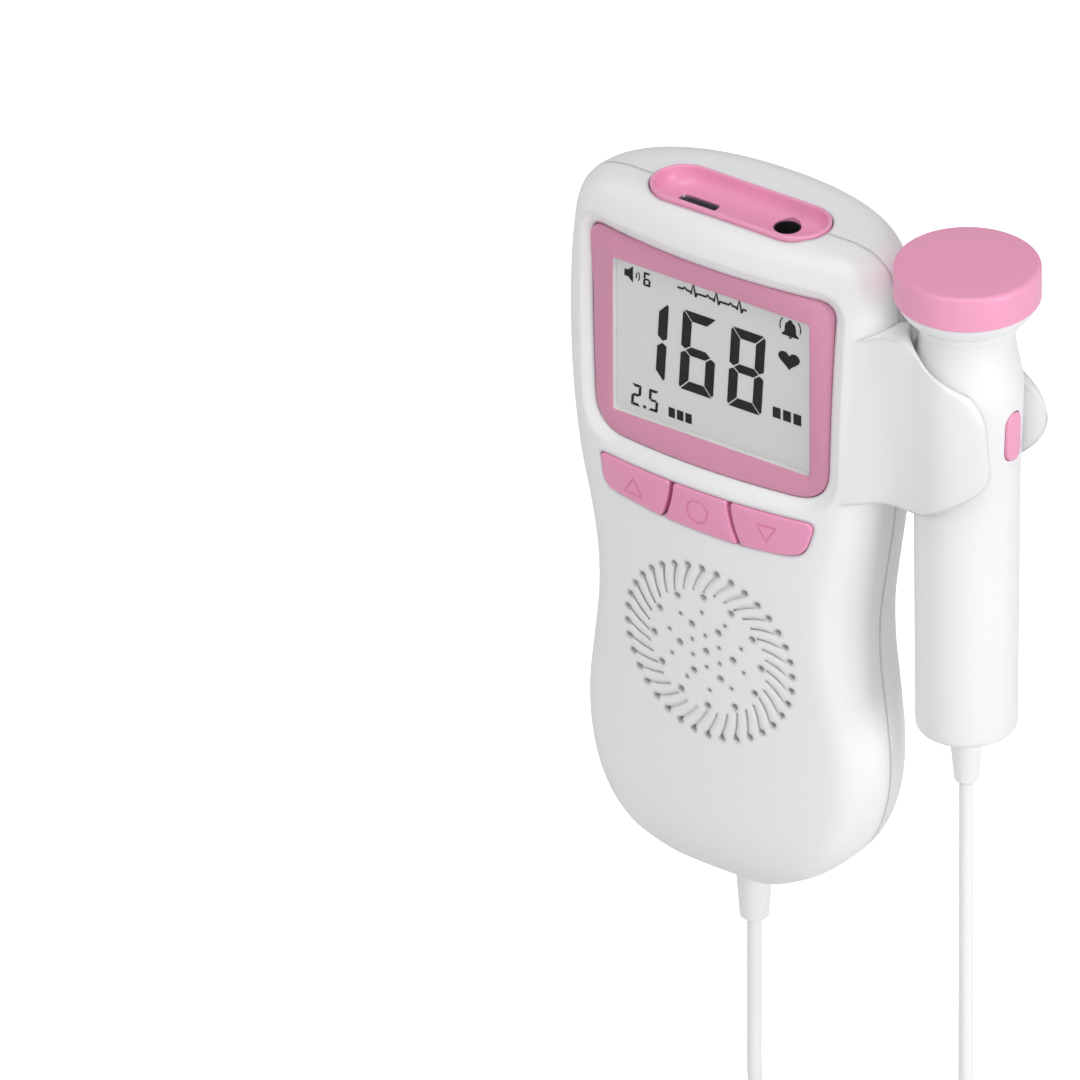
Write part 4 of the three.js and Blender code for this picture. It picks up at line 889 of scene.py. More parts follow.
# The two free stretches, mm, heights above the body's foot: straight down from the strain reliefs, then
# back and forward into the two ends of the hank
BODY_DROP_ROUTE = (
    (0, 0, -9.5),
    (0, 0, -14),
    (0, 0, -22),
    (0, 0, -31),
    (0, 0, -40),
    (0, 0.9, -47),
    (0, 3.4, -54),
    (0, 7.1, -61),
    (0, 9.8, -67),
    (0, 10.6, -71.5),
    (0, 10.675, -75.1),
)
PROBE_DROP_ROUTE = (
    (45.5, -1.5, 34.3),
    (45.5, -1.5, 29),
    (45.5, -1.5, 20),
    (45.5, -1.5, 10),
    (45.5, -1.5, 0),
    (45.5, -1.5, -10),
    (45.5, -1.5, -20),
    (45.5, -1.5, -30),
    (45.5, -1.5, -40),
    (45.5, -2.3, -47),
    (45.5, -4.5, -54),
    (45.5, -7.6, -61),
    (45.5, -9.9, -67),
    (45.5, -10.6, -71.5),
    (45.5, -10.675, -75.1),
)


def hank_point(turn):
    """A point of the hank, by loops from its left end. Each loop is 24 steps.

    They are a quarter bend down at the left, the lower run, the bend at the right, the upper run, which
    climbs to the next loop, and a quarter bend down to the left again.
    """
    s = bpy.context.scene.doppler_cord
    middle = bpy.context.scene.doppler_probe.x / 2
    run, end = middle - s.hank_end, s.hank_end
    loop = math.floor(turn)
    step = (turn - loop) * 24
    climb = 0.0
    if step <= 3:
        x, z = -run - end * math.cos(math.pi * step / 6), -end * math.sin(math.pi * step / 6)
    elif step <= 9:
        x, z = -run + 2 * run * (step - 3) / 6, -end
    elif step <= 15:
        x, z = run + end * math.sin(math.pi * (step - 9) / 6), -end * math.cos(math.pi * (step - 9) / 6)
    elif step <= 21:
        x, z, climb = run - 2 * run * (step - 15) / 6, end, (step - 15) / 6
    else:
        x, z = -run - end * math.sin(math.pi * (step - 21) / 6), end * math.cos(math.pi * (step - 21) / 6)
        climb = 1.0
    # The tie draws the two runs together in the middle
    pinch = 1 - (1 - 2.3 * MM / end) * math.exp(-((x / (9 * MM)) ** 4))
    start = s.hank_turns * s.hank_pitch / 2
    return Vector((middle + x, start - (loop + climb) * s.hank_pitch, s.hank_height + z * pinch))


class DOPPLER_OT_cord(bpy.types.Operator):
    """Adds the cable from the body to the probe, with its hank drawn in at the tie"""

    bl_idname = "doppler.cord"
    bl_label = "Cable"

    def execute(self, context):
        s, body = context.scene.doppler_cord, context.scene.doppler_body
        drop = curve_through([Vector(p) * MM for p in BODY_DROP_ROUTE], 4)
        rise = curve_through([Vector(p) * MM for p in PROBE_DROP_ROUTE], 4)[::-1]
        hank = [hank_point(k / 96) for k in range((2 * s.hank_turns + 1) * 48 + 1)]
        line = [p - Vector((0, 0, body.grip_height)) for p in drop[:-1] + hank + rise[1:]]
        normal, rings, sides = Vector((0, 1, 0)), [], 20
        for i, p in enumerate(line):
            along = (line[min(i + 1, len(line) - 1)] - line[max(i - 1, 0)]).normalized()
            normal = (normal - along * normal.dot(along)).normalized()
            across = along.cross(normal)
            ring = []
            for k in range(sides):
                angle = 2 * math.pi * k / sides
                ring.append(p + (normal * math.cos(angle) + across * math.sin(angle)) * s.diameter / 2)
            rings.append(ring)
        cable = loft("cable", rings)
        cable.data.materials.append(material_of("cable_pvc"))
        cable.data.shade_smooth()
        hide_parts("cord_body_drop", "cord_hank", "cord_probe_drop")
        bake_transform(cable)
        return {"FINISHED"}


# Housing

TRAY_HALF = (17.8 * MM, 6.1 * MM)  # half the length and half the width of the port tray
TRAY_CLEARANCE = 0.25 * MM
FRAME_CLEARANCE = 0.15 * MM
FRAME_CORNERS = (3.5 * MM, 2.6 * MM, 6.5 * MM, 6.5 * MM)  # upper right, upper left, lower left, lower right
WINDOW_CORNER = 0.8 * MM
BEFORE_FACE, BEHIND_FACE = -20 * MM, -8 * MM  # depths at which cutters of the front wall begin and end


def arm_root(z):
    """The front arm's root in plan at a height: out of the face, then off the face's curve to the arm."""
    s = bpy.context.scene.doppler_body
    face_share, front_share = level_at(z / s.height)[1:3]
    start = Vector((s.face_half_width * face_share, 0))
    start.y = start.x**2 / (2 * s.face_radius) - s.front_depth * front_share
    slope = start.x / s.face_radius
    end = Vector(ARM_ROOT_END)
    run = end.x - start.x
    buried = 3 * MM
    line = [
        Vector((s.half_width * 0.5, start.y + buried)),
        start + Vector((-buried, 0.4 * MM - slope * buried)),
    ]
    for k in range(8):
        t = k / 7
        line.append(Vector((start.x + run * t, eased(start.y, slope, end.y, 0, run, t))))
    return line


def clip_arm(name, shares, front):
    """One arm of the clip, its edges rounded."""
    s, body = bpy.context.scene.doppler_probe, bpy.context.scene.doppler_body
    root = body.face_half_width
    span, tall = s.x + CLIP_TIP_REACH - root, s.clip_top - s.clip_bottom
    plan = [Vector((root + span * a, b * s.clip_depth)) for a, b in CLIP_PLAN_SHARES]
    outside = curve_through(plan, 5)
    bore = []
    for i in range(61):
        angle = CLIP_MOUTH + (2 * math.pi - 2 * CLIP_MOUTH) * i / 60
        bore.append(Vector((s.x + s.bore * math.cos(angle), s.bore * math.sin(angle))))
    lip = (outside[-1] + bore[0]) / 2 - Vector((0, 0.25 * MM))
    back = Vector((body.half_width * 0.5, outside[0].y))
    rear = [Vector((p.x, p.y + s.y)) for p in [back, *outside, lip, *bore]]
    past_root = [Vector((p.x, s.y - p.y)) for p in [*outside, lip] if p.x > ARM_ROOT_CLEAR]
    # The plan at even heights, from below the clip to above it, which the arm's outline then cuts
    rings = []
    for k in range(-4, 14):
        z = s.clip_bottom + tall * k / 12
        rings.append([at(p.x, p.y, z) for p in rear + (arm_root(z) + past_root)[::-1]])
    curve = curve_through([Vector(p) for p in shares], 3)
    corners = [Vector((ARM_START_SHARE, curve[0].y)), *curve, Vector((ARM_START_SHARE, curve[-1].y))]
    outline = [Vector((root + span * p.x, s.clip_bottom + p.y * tall)) for p in corners]
    deep, past = 3 * s.clip_depth, 2 * MM
    ends = (-deep, past - body.seam) if front else (-past - body.seam, deep)
    arm = combine(loft(name, rings), "INTERSECT", slab("outline", outline, *ends))
    return rounded(arm, 0.5 * MM)


def seam_block(name, end, gap):
    """Everything from the bowed seam to a depth in front of it or behind it, less half the groove."""
    s = bpy.context.scene.doppler_body
    side = math.copysign(1, end)
    far = abs(end)
    shares = [k / 32 for k in range(33)]
    seam = [(side * gap - seam_at(t), s.height * t - s.grip_height) for t in shares]
    line = [(end, -far), (seam[0][0], -far), *seam, (seam[-1][0], far), (end, far)]
    return loft_flat(name, [[Vector((x, y, z)) for y, z in line] for x in (-far, far)])


def shell_form(name, front):
    """Half of the housing with its arm, hollowed and cut at the seam."""
    s = bpy.context.scene.doppler_body
    far = 3 * s.height
    arm = clip_arm("arm", FRONT_ARM_SHARES if front else REAR_ARM_SHARES, front)
    outer = combine(loft(name, body_rings(0, *FINE_BODY)), "UNION", arm)
    if not front:
        square = [(-far, -far), (far, -far), (far, far), (-far, far)]
        outer = combine(outer, "DIFFERENCE", slab("land", square, s.rear_land, far))
    outer = combine(outer, "DIFFERENCE", loft("cavity", body_rings(s.wall, *COARSE_BODY)))
    return combine(outer, "INTERSECT", seam_block("half", -far if front else far, s.seam_gap / 2))


def tray_hole():
    """Cutter for the port tray, in the top of both shells."""
    s = bpy.context.scene.doppler_body
    outline = stadium(TRAY_HALF[0] + TRAY_CLEARANCE, TRAY_HALF[1] + TRAY_CLEARANCE, -s.seam_top)
    return column("tray hole", outline, s.height - 6 * MM, s.height + 3 * MM)


def relief_hole():
    """Cutter for the strain relief, in the foot of both shells."""
    return column("relief hole", circle(0, 0, 2.9 * MM, 32), -3 * MM, 9 * MM)


def frame_outline(grow):
    """The screen frame's outer edge, let out by a distance."""
    s = bpy.context.scene.doppler_screen
    top, bottom = s.frame_top + grow, s.frame_bottom - grow
    corners = [
        (s.frame_right_top + grow, top),
        (-s.frame_left_top - grow, top),
        (-s.frame_left_bottom - grow, bottom),
        (s.frame_right_bottom + grow, bottom),
    ]
    rounds = [(*corner, radius + grow) for corner, radius in zip(corners, FRAME_CORNERS)]
    return rounded_outline(rounds, 10, 14)


def window_outline(grow=0.0):
    """The window's edge, let out by a distance."""
    s = bpy.context.scene.doppler_screen
    half, top, bottom = s.window_half_width + grow, s.window_top + grow, s.window_bottom - grow
    corners = [(half, top), (-half, top), (-half, bottom), (half, bottom)]
    return rounded_outline([(*corner, WINDOW_CORNER + grow) for corner in corners], 10, 14)


def frame_opening():
    """Cutter for the screen frame, with the rounded rim that leads down to it."""
    s = bpy.context.scene.doppler_screen
    rings = [at_depth(frame_outline(s.rim + FRAME_CLEARANCE), 22 * MM)]
    for k in range(7):
        t = k / 6
        outline = frame_outline(s.rim * (1 - t) + FRAME_CLEARANCE)
        rings.append(on_face(outline, s.recess * t - 0.01 * MM))
    rings.append(at_depth(frame_outline(FRAME_CLEARANCE), s.back_depth - 2 * MM))
    return loft("frame opening", rings)


# Lower edge of the row of keys, from left to right, across and above the foot, mm
KEY_BAND_FOOT = (
    (-21.5, 79.3),
    (-19.7, 77.7),
    (-15.9, 77.2),
    (-8.8, 76.55),
    (-1.6, 76.25),
    (6, 76.05),
    (13, 76.3),
    (18.4, 76.85),
    (20.9, 78.6),
)


def key_band(grow):
    """The outline of the whole row of keys, let out by a distance."""
    s = bpy.context.scene.doppler_keys
    half, corner = s.half_width, s.corner
    left, down = half - 0.4 * MM, s.top - 1.6 * MM
    foot = [Vector((x * MM, z * MM)) for x, z in KEY_BAND_FOOT]
    foot = curve_through([Vector((-left, down)), *foot, Vector((half, down))], 8)
    low = s.top - 4 * MM
    corners = [(half, low, 0), (half, s.top, corner), (-half, s.top, corner), (-left, low, 0)]
    top = [p for p in rounded_outline(corners, 12, 3) if p.y > s.top - 1.5 * MM]
    outline = even_outline(top + foot, 150)
    return grown(outline, grow) if grow else outline


def grille_cutters():
    """Cutters for the grille: all its through holes, and the grooves that are the drops' tails."""
    s = bpy.context.scene.doppler_grille

    def at_share(share, angle):
        x, z = share * s.radius * math.cos(angle), share * s.radius * math.sin(angle)
        return x, s.height + z

    holes, tails = [], []
    for share, count, first, large in GRILLE_RINGS + ((1, s.drops, 0, True),):
        for i in range(count):
            x, z = at_share(share, math.radians(first) + 2 * math.pi * i / count)
            radius = s.hole if large else s.small_hole
            holes.append(bar_y("hole", radius, x, z, BEFORE_FACE, BEHIND_FACE, 20))
    for i in range(s.drops):
        angle = 2 * math.pi * i / s.drops
        ends = [(Vector(at_share(share, angle + turn)), width * MM) for share, turn, width in GRILLE_TAIL]
        along = (ends[-1][0] - ends[0][0]).normalized()
        across = Vector((-along.y, along.x))
        outline = [p + across * w for p, w in ends] + [p - across * w for p, w in ends[::-1]]
        floor = -face_depth(*ends[1][0]) + s.tail_depth
        tails.append(slab("tail", outline, BEFORE_FACE, floor))
    return joined("holes", holes), joined("tails", tails)


CASE_SCREWS = ((-24, 126.2), (24, 126.2), (-16.5, 19), (16.5, 19))  # across and above the foot, mm
SCREW_TUBE = (3.1 * MM, -2.4 * MM)  # radius outside, front end
SCREW_SINK = (2.5 * MM, 1.1 * MM)  # radius of the bore for the head, its floor


class DOPPLER_OT_housing(bpy.types.Operator):
    """Adds the two shells of the body, with the clip's arms, the openings and the grille"""

    bl_idname = "doppler.housing"
    bl_label = "Housing"

    def execute(self, context):
        s = context.scene.doppler_body
        key_opening = slab("keys", key_band(0.0), BEFORE_FACE, BEHIND_FACE)
        front = shell_form("front_housing", True)
        front = combine(front, "DIFFERENCE", frame_opening(), key_opening)
        front = combine(front, "DIFFERENCE", tray_hole(), relief_hole(), *grille_cutters())
        dressed(front, "housing_abs", "white_abs", "housing", "front_shell")
        rear = shell_form("rear_housing", False)
        bars = []
        for radius, start in (SCREW_TUBE, SCREW_SINK):
            round_bars = [bar_y("bar", radius, x * MM, z * MM, start, 22 * MM, 32) for x, z in CASE_SCREWS]
            bars.append(joined("bars", round_bars))
        tubes, sinks = bars
        inner = loft("body", body_rings(s.wall / 2, *COARSE_BODY))
        rear = combine(rear, "UNION", combine(tubes, "INTERSECT", inner))
        rear = combine(rear, "DIFFERENCE", sinks, tray_hole(), relief_hole())
        dressed(rear, "housing_abs", "white_abs", "housing", "rear_shell")
        return {"FINISHED"}


class DOPPLER_OT_screen(bpy.types.Operator):
    """Adds the pink frame, the clear window and the display with its digits and signs"""

    bl_idname = "doppler.screen"
    bl_label = "Screen"

    def execute(self, context):
        s = context.scene.doppler_screen
        self.bezel(s)
        panel = -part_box("lcd_panel")[0].y
        near, far = s.lip_depth - 0.36 * MM, panel + 0.02 * MM
        outside, inside = window_outline(0.55 * MM), window_outline(0.03 * MM)
        rings = [at_depth(outside, far), at_depth(outside, near)]
        rings += [at_depth(inside, near), at_depth(inside, far)]
        surround = loft("display_surround", rings, looped=True)
        dressed(surround, "diffuser", "diffuser", "housing")
        pane = window_outline(-0.02 * MM)
        window = loft_flat("display_window", [at_depth(pane, panel + d * MM) for d in (0.2, 0.65)])
        dressed(window, "clear_pmma", "clear_pmma", "housing", "lcd_lens")
        back = window_outline(0.5 * MM)
        glass = loft_flat("display_glass", [at_depth(back, panel - 1.5 * MM), at_depth(back, panel)])
        dressed(glass, "display_glass", "display_glass", "housing", "lcd_panel")
        display_marks()
        return {"FINISHED"}

    def bezel(self, s):
        """The pink frame: its outer edge lies under the face, and a bowed slope leads down to the window."""
        outer, inner, wide = frame_outline(0.0), window_outline(), window_outline(0.6 * MM)
        face, lip = on_face(outer, s.recess), at_depth(inner, s.lip_depth)
        rings = [at_depth(outer, s.back_depth), on_face(outer, s.recess + 0.25 * MM)]
        rings.append(on_face(grown(outer, -0.08 * MM), s.recess + 0.07 * MM))
        for k in range(9):
            t = k / 8
            bow = Vector((0, -0.3 * MM * math.sin(math.pi * t**0.8), 0))
            rings.append([a.lerp(b, 0.03 + 0.94 * t) + bow for a, b in zip(face, lip)])
        rings += [at_depth(inner, s.lip_depth - 0.1 * MM), at_depth(inner, s.lip_depth - 0.3 * MM)]
        rings += [at_depth(wide, s.lip_depth - 0.35 * MM), at_depth(wide, s.back_depth)]
        frame_piece = loft("screen_frame", rings, looped=True)
        dressed(frame_piece, "frame_abs", "pink_abs", "housing", "lcd_bezel", angle=40)


# Display

# Segments of a plain seven-segment digit, lettered a to g from the top clockwise with g the middle
SEGMENTS_LIT = {"1": "bc", "2": "abged", "5": "afgcd", "6": "afgedc", "8": "abcdefg"}

# Left, foot, width, height and stroke in mm, and the number shown there
DISPLAY_NUMBERS = (
    (-17.75, 100.5, 7.15, 16.0, 1.9, "1"),
    (-7.6, 100.5, 7.15, 16.0, 1.9, "6"),
    (2.5, 100.5, 7.15, 16.0, 1.9, "8"),
    (-15.0, 118.5, 1.45, 2.7, 0.38, "6"),
    (-17.6, 93.9, 1.95, 4.3, 0.5, "2"),
    (-14.0, 93.9, 1.95, 4.3, 0.5, "5"),
)
DIGIT_SLANT = 0.062  # how far a digit leans to the right for each unit of height
DECIMAL_POINT = (-14.75, 94.2)
SPEAKER_SIGN = (
    (-18.9, 119.25),
    (-18.9, 120.55),
    (-18.15, 120.55),
    (-17.15, 121.5),
    (-17.15, 118.3),
    (-18.15, 119.25),
)
HEART_SIGN = (15.5, 113.6, 2.25, 1.95)  # middle, half width and scale of the height
# Right half of a bell from its top down, about its own middle
BELL_MIDDLE = (15.75, 119.9)
BELL_HALF = (
    (0, 1.75),
    (0.28, 1.7),
    (0.42, 1.35),
    (0.95, 0.95),
    (1.15, 0.2),
    (1.2, -0.75),
    (1.75, -1.25),
    (1.75, -1.5),
    (0, -1.5),
)
# Plain bars in the places of the units: left, foot, width, height
UNIT_BARS = ((-9.7, 94.0, 1.3, 1.9), (12.1, 101.2, 1.6, 2.1))
# One beat of the pulse wave, across and up, and where its line starts and ends
BEAT = (
    (0, 0),
    (1.1, 0),
    (1.5, 0.45),
    (1.9, 0),
    (2.5, 0),
    (2.8, -0.45),
    (3.3, 1.75),
    (3.8, -0.8),
    (4.1, 0),
)
BEAT_LENGTH, WAVE_LEFT, WAVE_RIGHT, WAVE_HEIGHT = 4.8, -7.8, 6.6, 120.3


def digit_bars(width, tall, stroke, lit):
    """Outlines of a digit's lit segments, from its lower left corner."""
    gap, mid, half = 0.09 * stroke, tall / 2, 0.44 * stroke
    start = stroke + gap
    top = [
        (0.2 * stroke, tall),
        (width - 0.2 * stroke, tall),
        (width - start, tall - stroke),
        (start, tall - stroke),
    ]
    upper = [
        (0, mid + 0.4 * stroke),
        (0, tall - 0.35 * stroke),
        (0.14 * stroke, tall - 0.14 * stroke),
        (stroke, tall - start),
        (stroke, mid + 0.55 * stroke),
        (0.45 * stroke, mid + 0.12 * stroke),
    ]
    middle = [
        (0.55 * stroke, mid),
        (start, mid + half),
        (width - start, mid + half),
        (width - 0.55 * stroke, mid),
        (width - start, mid - half),
        (start, mid - half),
    ]

    def flip(bar, across, upright):
        return [(width - a if across else a, tall - b if upright else b) for a, b in bar]

    bars = {
        "a": top,
        "b": flip(upper, True, False),
        "c": flip(upper, True, True),
        "d": flip(top, False, True),
        "e": flip(upper, False, True),
        "f": upper,
        "g": middle,
    }
    return [bars[letter] for letter in lit]


def ring_part(x, z, radius, stroke, first, last, steps=14):
    """Outline of an arc band, angles in degrees."""
    turns = [math.radians(first + (last - first) * k / steps) for k in range(steps + 1)]

    def arc(r):
        return [(x + r * math.cos(a), z + r * math.sin(a)) for a in turns]

    return arc(radius + stroke / 2) + arc(radius - stroke / 2)[::-1]


def heart_outline():
    """The outline of a heart, by the usual curve of sines and cosines."""
    x, z, wide, tall = HEART_SIGN
    outline = []
    for k in range(40):
        a = 2 * math.pi * k / 40
        high = (13 * math.cos(a) - 5 * math.cos(2 * a) - 2 * math.cos(3 * a) - math.cos(4 * a)) / 16
        outline.append((x + wide * math.sin(a) ** 3, z + tall * high))
    return outline


def wave_outlines():
    """A pulse wave in the place of the top line's words, one outline for each stretch of its line."""
    line = [(WAVE_LEFT + BEAT_LENGTH * turn + a, WAVE_HEIGHT + b) for turn in range(3) for a, b in BEAT]
    points = [Vector((x, z + 0.2)) for x, z in line + [(WAVE_RIGHT, WAVE_HEIGHT)]]
    left, right = [], []
    for i, p in enumerate(points):
        along = (points[min(i + 1, len(points) - 1)] - points[max(i - 1, 0)]).normalized()
        across = Vector((-along.y, along.x)) * 0.2
        left.append(p + across)
        right.append(p - across)
    return [[left[i], left[i + 1], right[i + 1], right[i]] for i in range(len(left) - 1)]


def display_shapes():
    """Outlines of the display's digits and signs, in millimetres across and above the foot."""
    shapes = []
    for left, foot, width, tall, stroke, number in DISPLAY_NUMBERS:
        for bar in digit_bars(width, tall, stroke, SEGMENTS_LIT[number]):
            shapes.append([(left + a + DIGIT_SLANT * b, foot + b) for a, b in bar])
    shapes.append(ring_part(*DECIMAL_POINT, 0.17, 0.3, 0, 330, 11)[:12])
    # A loudspeaker with two waves
    shapes.append(list(SPEAKER_SIGN))
    shapes += [ring_part(-17.1, 119.9, r, 0.18, -40, 40) for r in (0.75, 1.35)]
    shapes.append(heart_outline())
    # A bell with its clapper, ringing
    x, z = BELL_MIDDLE
    shapes.append([(x + a, z + b) for a, b in BELL_HALF] + [(x - a, z + b) for a, b in BELL_HALF[-2:0:-1]])
    shapes.append([(x - 0.4, 118.3), (x + 0.4, 118.3), (x + 0.15, 117.95), (x - 0.15, 117.95)])
    shapes += [ring_part(x, 120.2, 2.15, 0.2, a, a + 62) for a in (-20, 138)]
    for left, foot, width, tall in UNIT_BARS:
        for k in range(3):
            x = left + k * width * 1.35
            shapes.append([(x, foot), (x + width, foot), (x + width, foot + tall), (x, foot + tall)])
    return shapes + wave_outlines()


def display_marks():
    """Adds the digits and signs of the display, as thin shapes on its glass."""
    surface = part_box("lcd_panel")[0].y
    bm = bmesh.new()
    for outline in display_shapes():
        rings = []
        for y in (surface - 0.08 * MM, surface - 0.02 * MM):
            rings.append([bm.verts.new(at(x * MM, y, z * MM)) for x, z in outline])
        bm.faces.new(rings[0])
        bm.faces.new(rings[1][::-1])
        for i in range(len(outline)):
            j = (i + 1) % len(outline)
            bm.faces.new((rings[0][i], rings[1][i], rings[1][j], rings[0][j]))
    bmesh.ops.recalc_face_normals(bm, faces=bm.faces)
    mesh = bpy.data.meshes.new("display_marks")
    bm.to_mesh(mesh)
    bm.free()
    marks = placed("display_marks", mesh)
    marks.data.materials.append(material_of("display_ink"))
    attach(marks, "housing")


# Keys

KEY_NODES = ((-1, "key_up", "up_key"), (0, "key_select", "select_key"), (1, "key_down", "down_key"))
KEY_CLEARANCE = 0.16 * MM  # between the row and its opening
KEY_FILLET = 0.4 * MM
KEY_CROWN = 0.12 * MM  # how far a key's middle swells
KEY_BACK = 9.5 * MM
SIGN_DEPTH, SIGN_WIDTH = 0.08 * MM, 0.42 * MM
TRIANGLE_SIGN = ((-1.9, -1), (0, 1), (1.9, -1), (-1.9, -1))  # across in mm, up as a share of half its height
TRIANGLE_HALF_HEIGHT = 1.55 * MM
RING_SIGN_RADIUS = 2.1 * MM


def engraving(points, width, sunk):
    """Cutter for one straight engraved line between two points on the front face."""
    a, b = points
    along = (b - a).normalized()
    across = Vector((-along.y, along.x)) * width / 2
    a, b = a - along * width / 2, b + along * width / 2
    outline = [a - across, b - across, b + across, a + across]
    return loft_flat("line", [at_depth(outline, 20 * MM), on_face(outline, sunk)])


class DOPPLER_OT_keys(bpy.types.Operator):
    """Adds the three pink keys with their engraved signs"""

    bl_idname = "doppler.keys"
    bl_label = "Keys"

    def execute(self, context):
        s = context.scene.doppler_keys
        for side, node, body in KEY_NODES:
            outline = self.overlap(even_outline(key_band(-KEY_CLEARANCE), 400), self.zone(s, side))
            middle = sum(outline, Vector((0, 0))) / len(outline)
            outline = soften(even_outline(outline, 160), 5)
            rings = [at_depth(outline, KEY_BACK)]
            for out, down in quarter_round(5):
                rings.append(on_face(grown(outline, -KEY_FILLET * out), KEY_FILLET * down - s.proud))
            inner = grown(outline, -KEY_FILLET)
            for share in (0.75, 0.5, 0.25):
                ring = [middle + (p - middle) * share for p in inner]
                rings.append(on_face(ring, -s.proud - KEY_CROWN * (1 - share**2)))
            key = loft(f"{body}_cap", rings)
            key = combine(key, "DIFFERENCE", *self.sign(side, s.proud))
            dressed(key, "key_abs", "pink_abs", body, node)
        return {"FINISHED"}

    def zone(self, s, side):
        """The stretch of the row that a key takes up, between bowed and leaning edges."""
        tall = s.top - s.bottom
        rows = []
        for k in range(-3, 24):
            t = k / 20
            x = s.split_top + (s.split_bottom - s.split_top) * t - s.bow * 4 * t * (1 - t)
            rows.append((x, s.top - t * tall))
        half, far = s.gap / 2, 60 * MM
        if side == 0:
            right = [Vector((x - half, z)) for x, z in rows]
            return right + [Vector((-p.x, p.y)) for p in right[::-1]]
        edge = [Vector((side * (x + half), z)) for x, z in rows]
        return edge + [Vector((side * far, rows[-1][1])), Vector((side * far, rows[0][1]))]

    def sign(self, side, proud):
        """Cutters for a key's engraved sign: a triangle that points up or down, or a ring."""
        middle = Vector(((side * 13.9 - 0.3) * MM, (80.4 - 0.1 * side) * MM))
        if side:
            up = -side * TRIANGLE_HALF_HEIGHT
            corners = [middle + Vector((a * MM, b * up)) for a, b in TRIANGLE_SIGN]
        else:
            corners = [middle + p for p in circle(0, 0, RING_SIGN_RADIUS, 28)]
            corners.append(corners[0])
        return [engraving(pair, SIGN_WIDTH, SIGN_DEPTH - proud) for pair in zip(corners, corners[1:])]

    def overlap(self, outline, zone):
        """The outline that two plates share, worked out as a solid."""
        plates = [slab("plate", points, -MM, MM) for points in (outline, zone)]
        shared = combine(plates[0], "INTERSECT", plates[1])
        bm = bmesh.new()
        bm.from_mesh(shared.data)
        bpy.data.objects.remove(shared)
        bmesh.ops.remove_doubles(bm, verts=bm.verts, dist=1e-6)
        rim = {v: [] for v in bm.verts if v.co.y < 0}
        for edge in bm.edges:
            a, b = edge.verts
            if a in rim and b in rim and any(abs(face.normal.y) < 0.5 for face in edge.link_faces):
                rim[a].append(b)
                rim[b].append(a)
        start = next(iter(rim))
        loop, last, here = [start], None, start
        while True:
            step = next(v for v in rim[here] if v is not last)
            if step is start:
                break
            loop.append(step)
            last, here = here, step
        z0 = bpy.context.scene.doppler_body.grip_height
        found = [Vector((v.co.x, v.co.z + z0)) for v in loop]
        bm.free()
        if sum(a.x * b.y - b.x * a.y for a, b in zip(found, found[1:] + found[:1])) < 0:
            found.reverse()
        return found


# Port tray

TRAY_DEPTH = 3.5 * MM
TRAY_PROUD = 0.6 * MM  # how far its rolled rim stands out of the top
TRAY_RIM = (0.38 * MM, 0.4 * MM)  # half the width and the height of the rim
# The dish: how far in from the outside and how far down from the rim, mm
TRAY_DISH = ((0.76, 0.4), (0.9, 1.2), (1.15, 2.0), (1.55, 2.7), (2.15, 3.2), (3.0, 3.45), (4.3, 3.5))
USB = (-8.9 * MM, -3.7 * MM, 3.9 * MM, 1.2 * MM)  # middle, half width, half thickness
JACK = (8.4 * MM, -2.1 * MM, 2.45 * MM)  # middle and radius


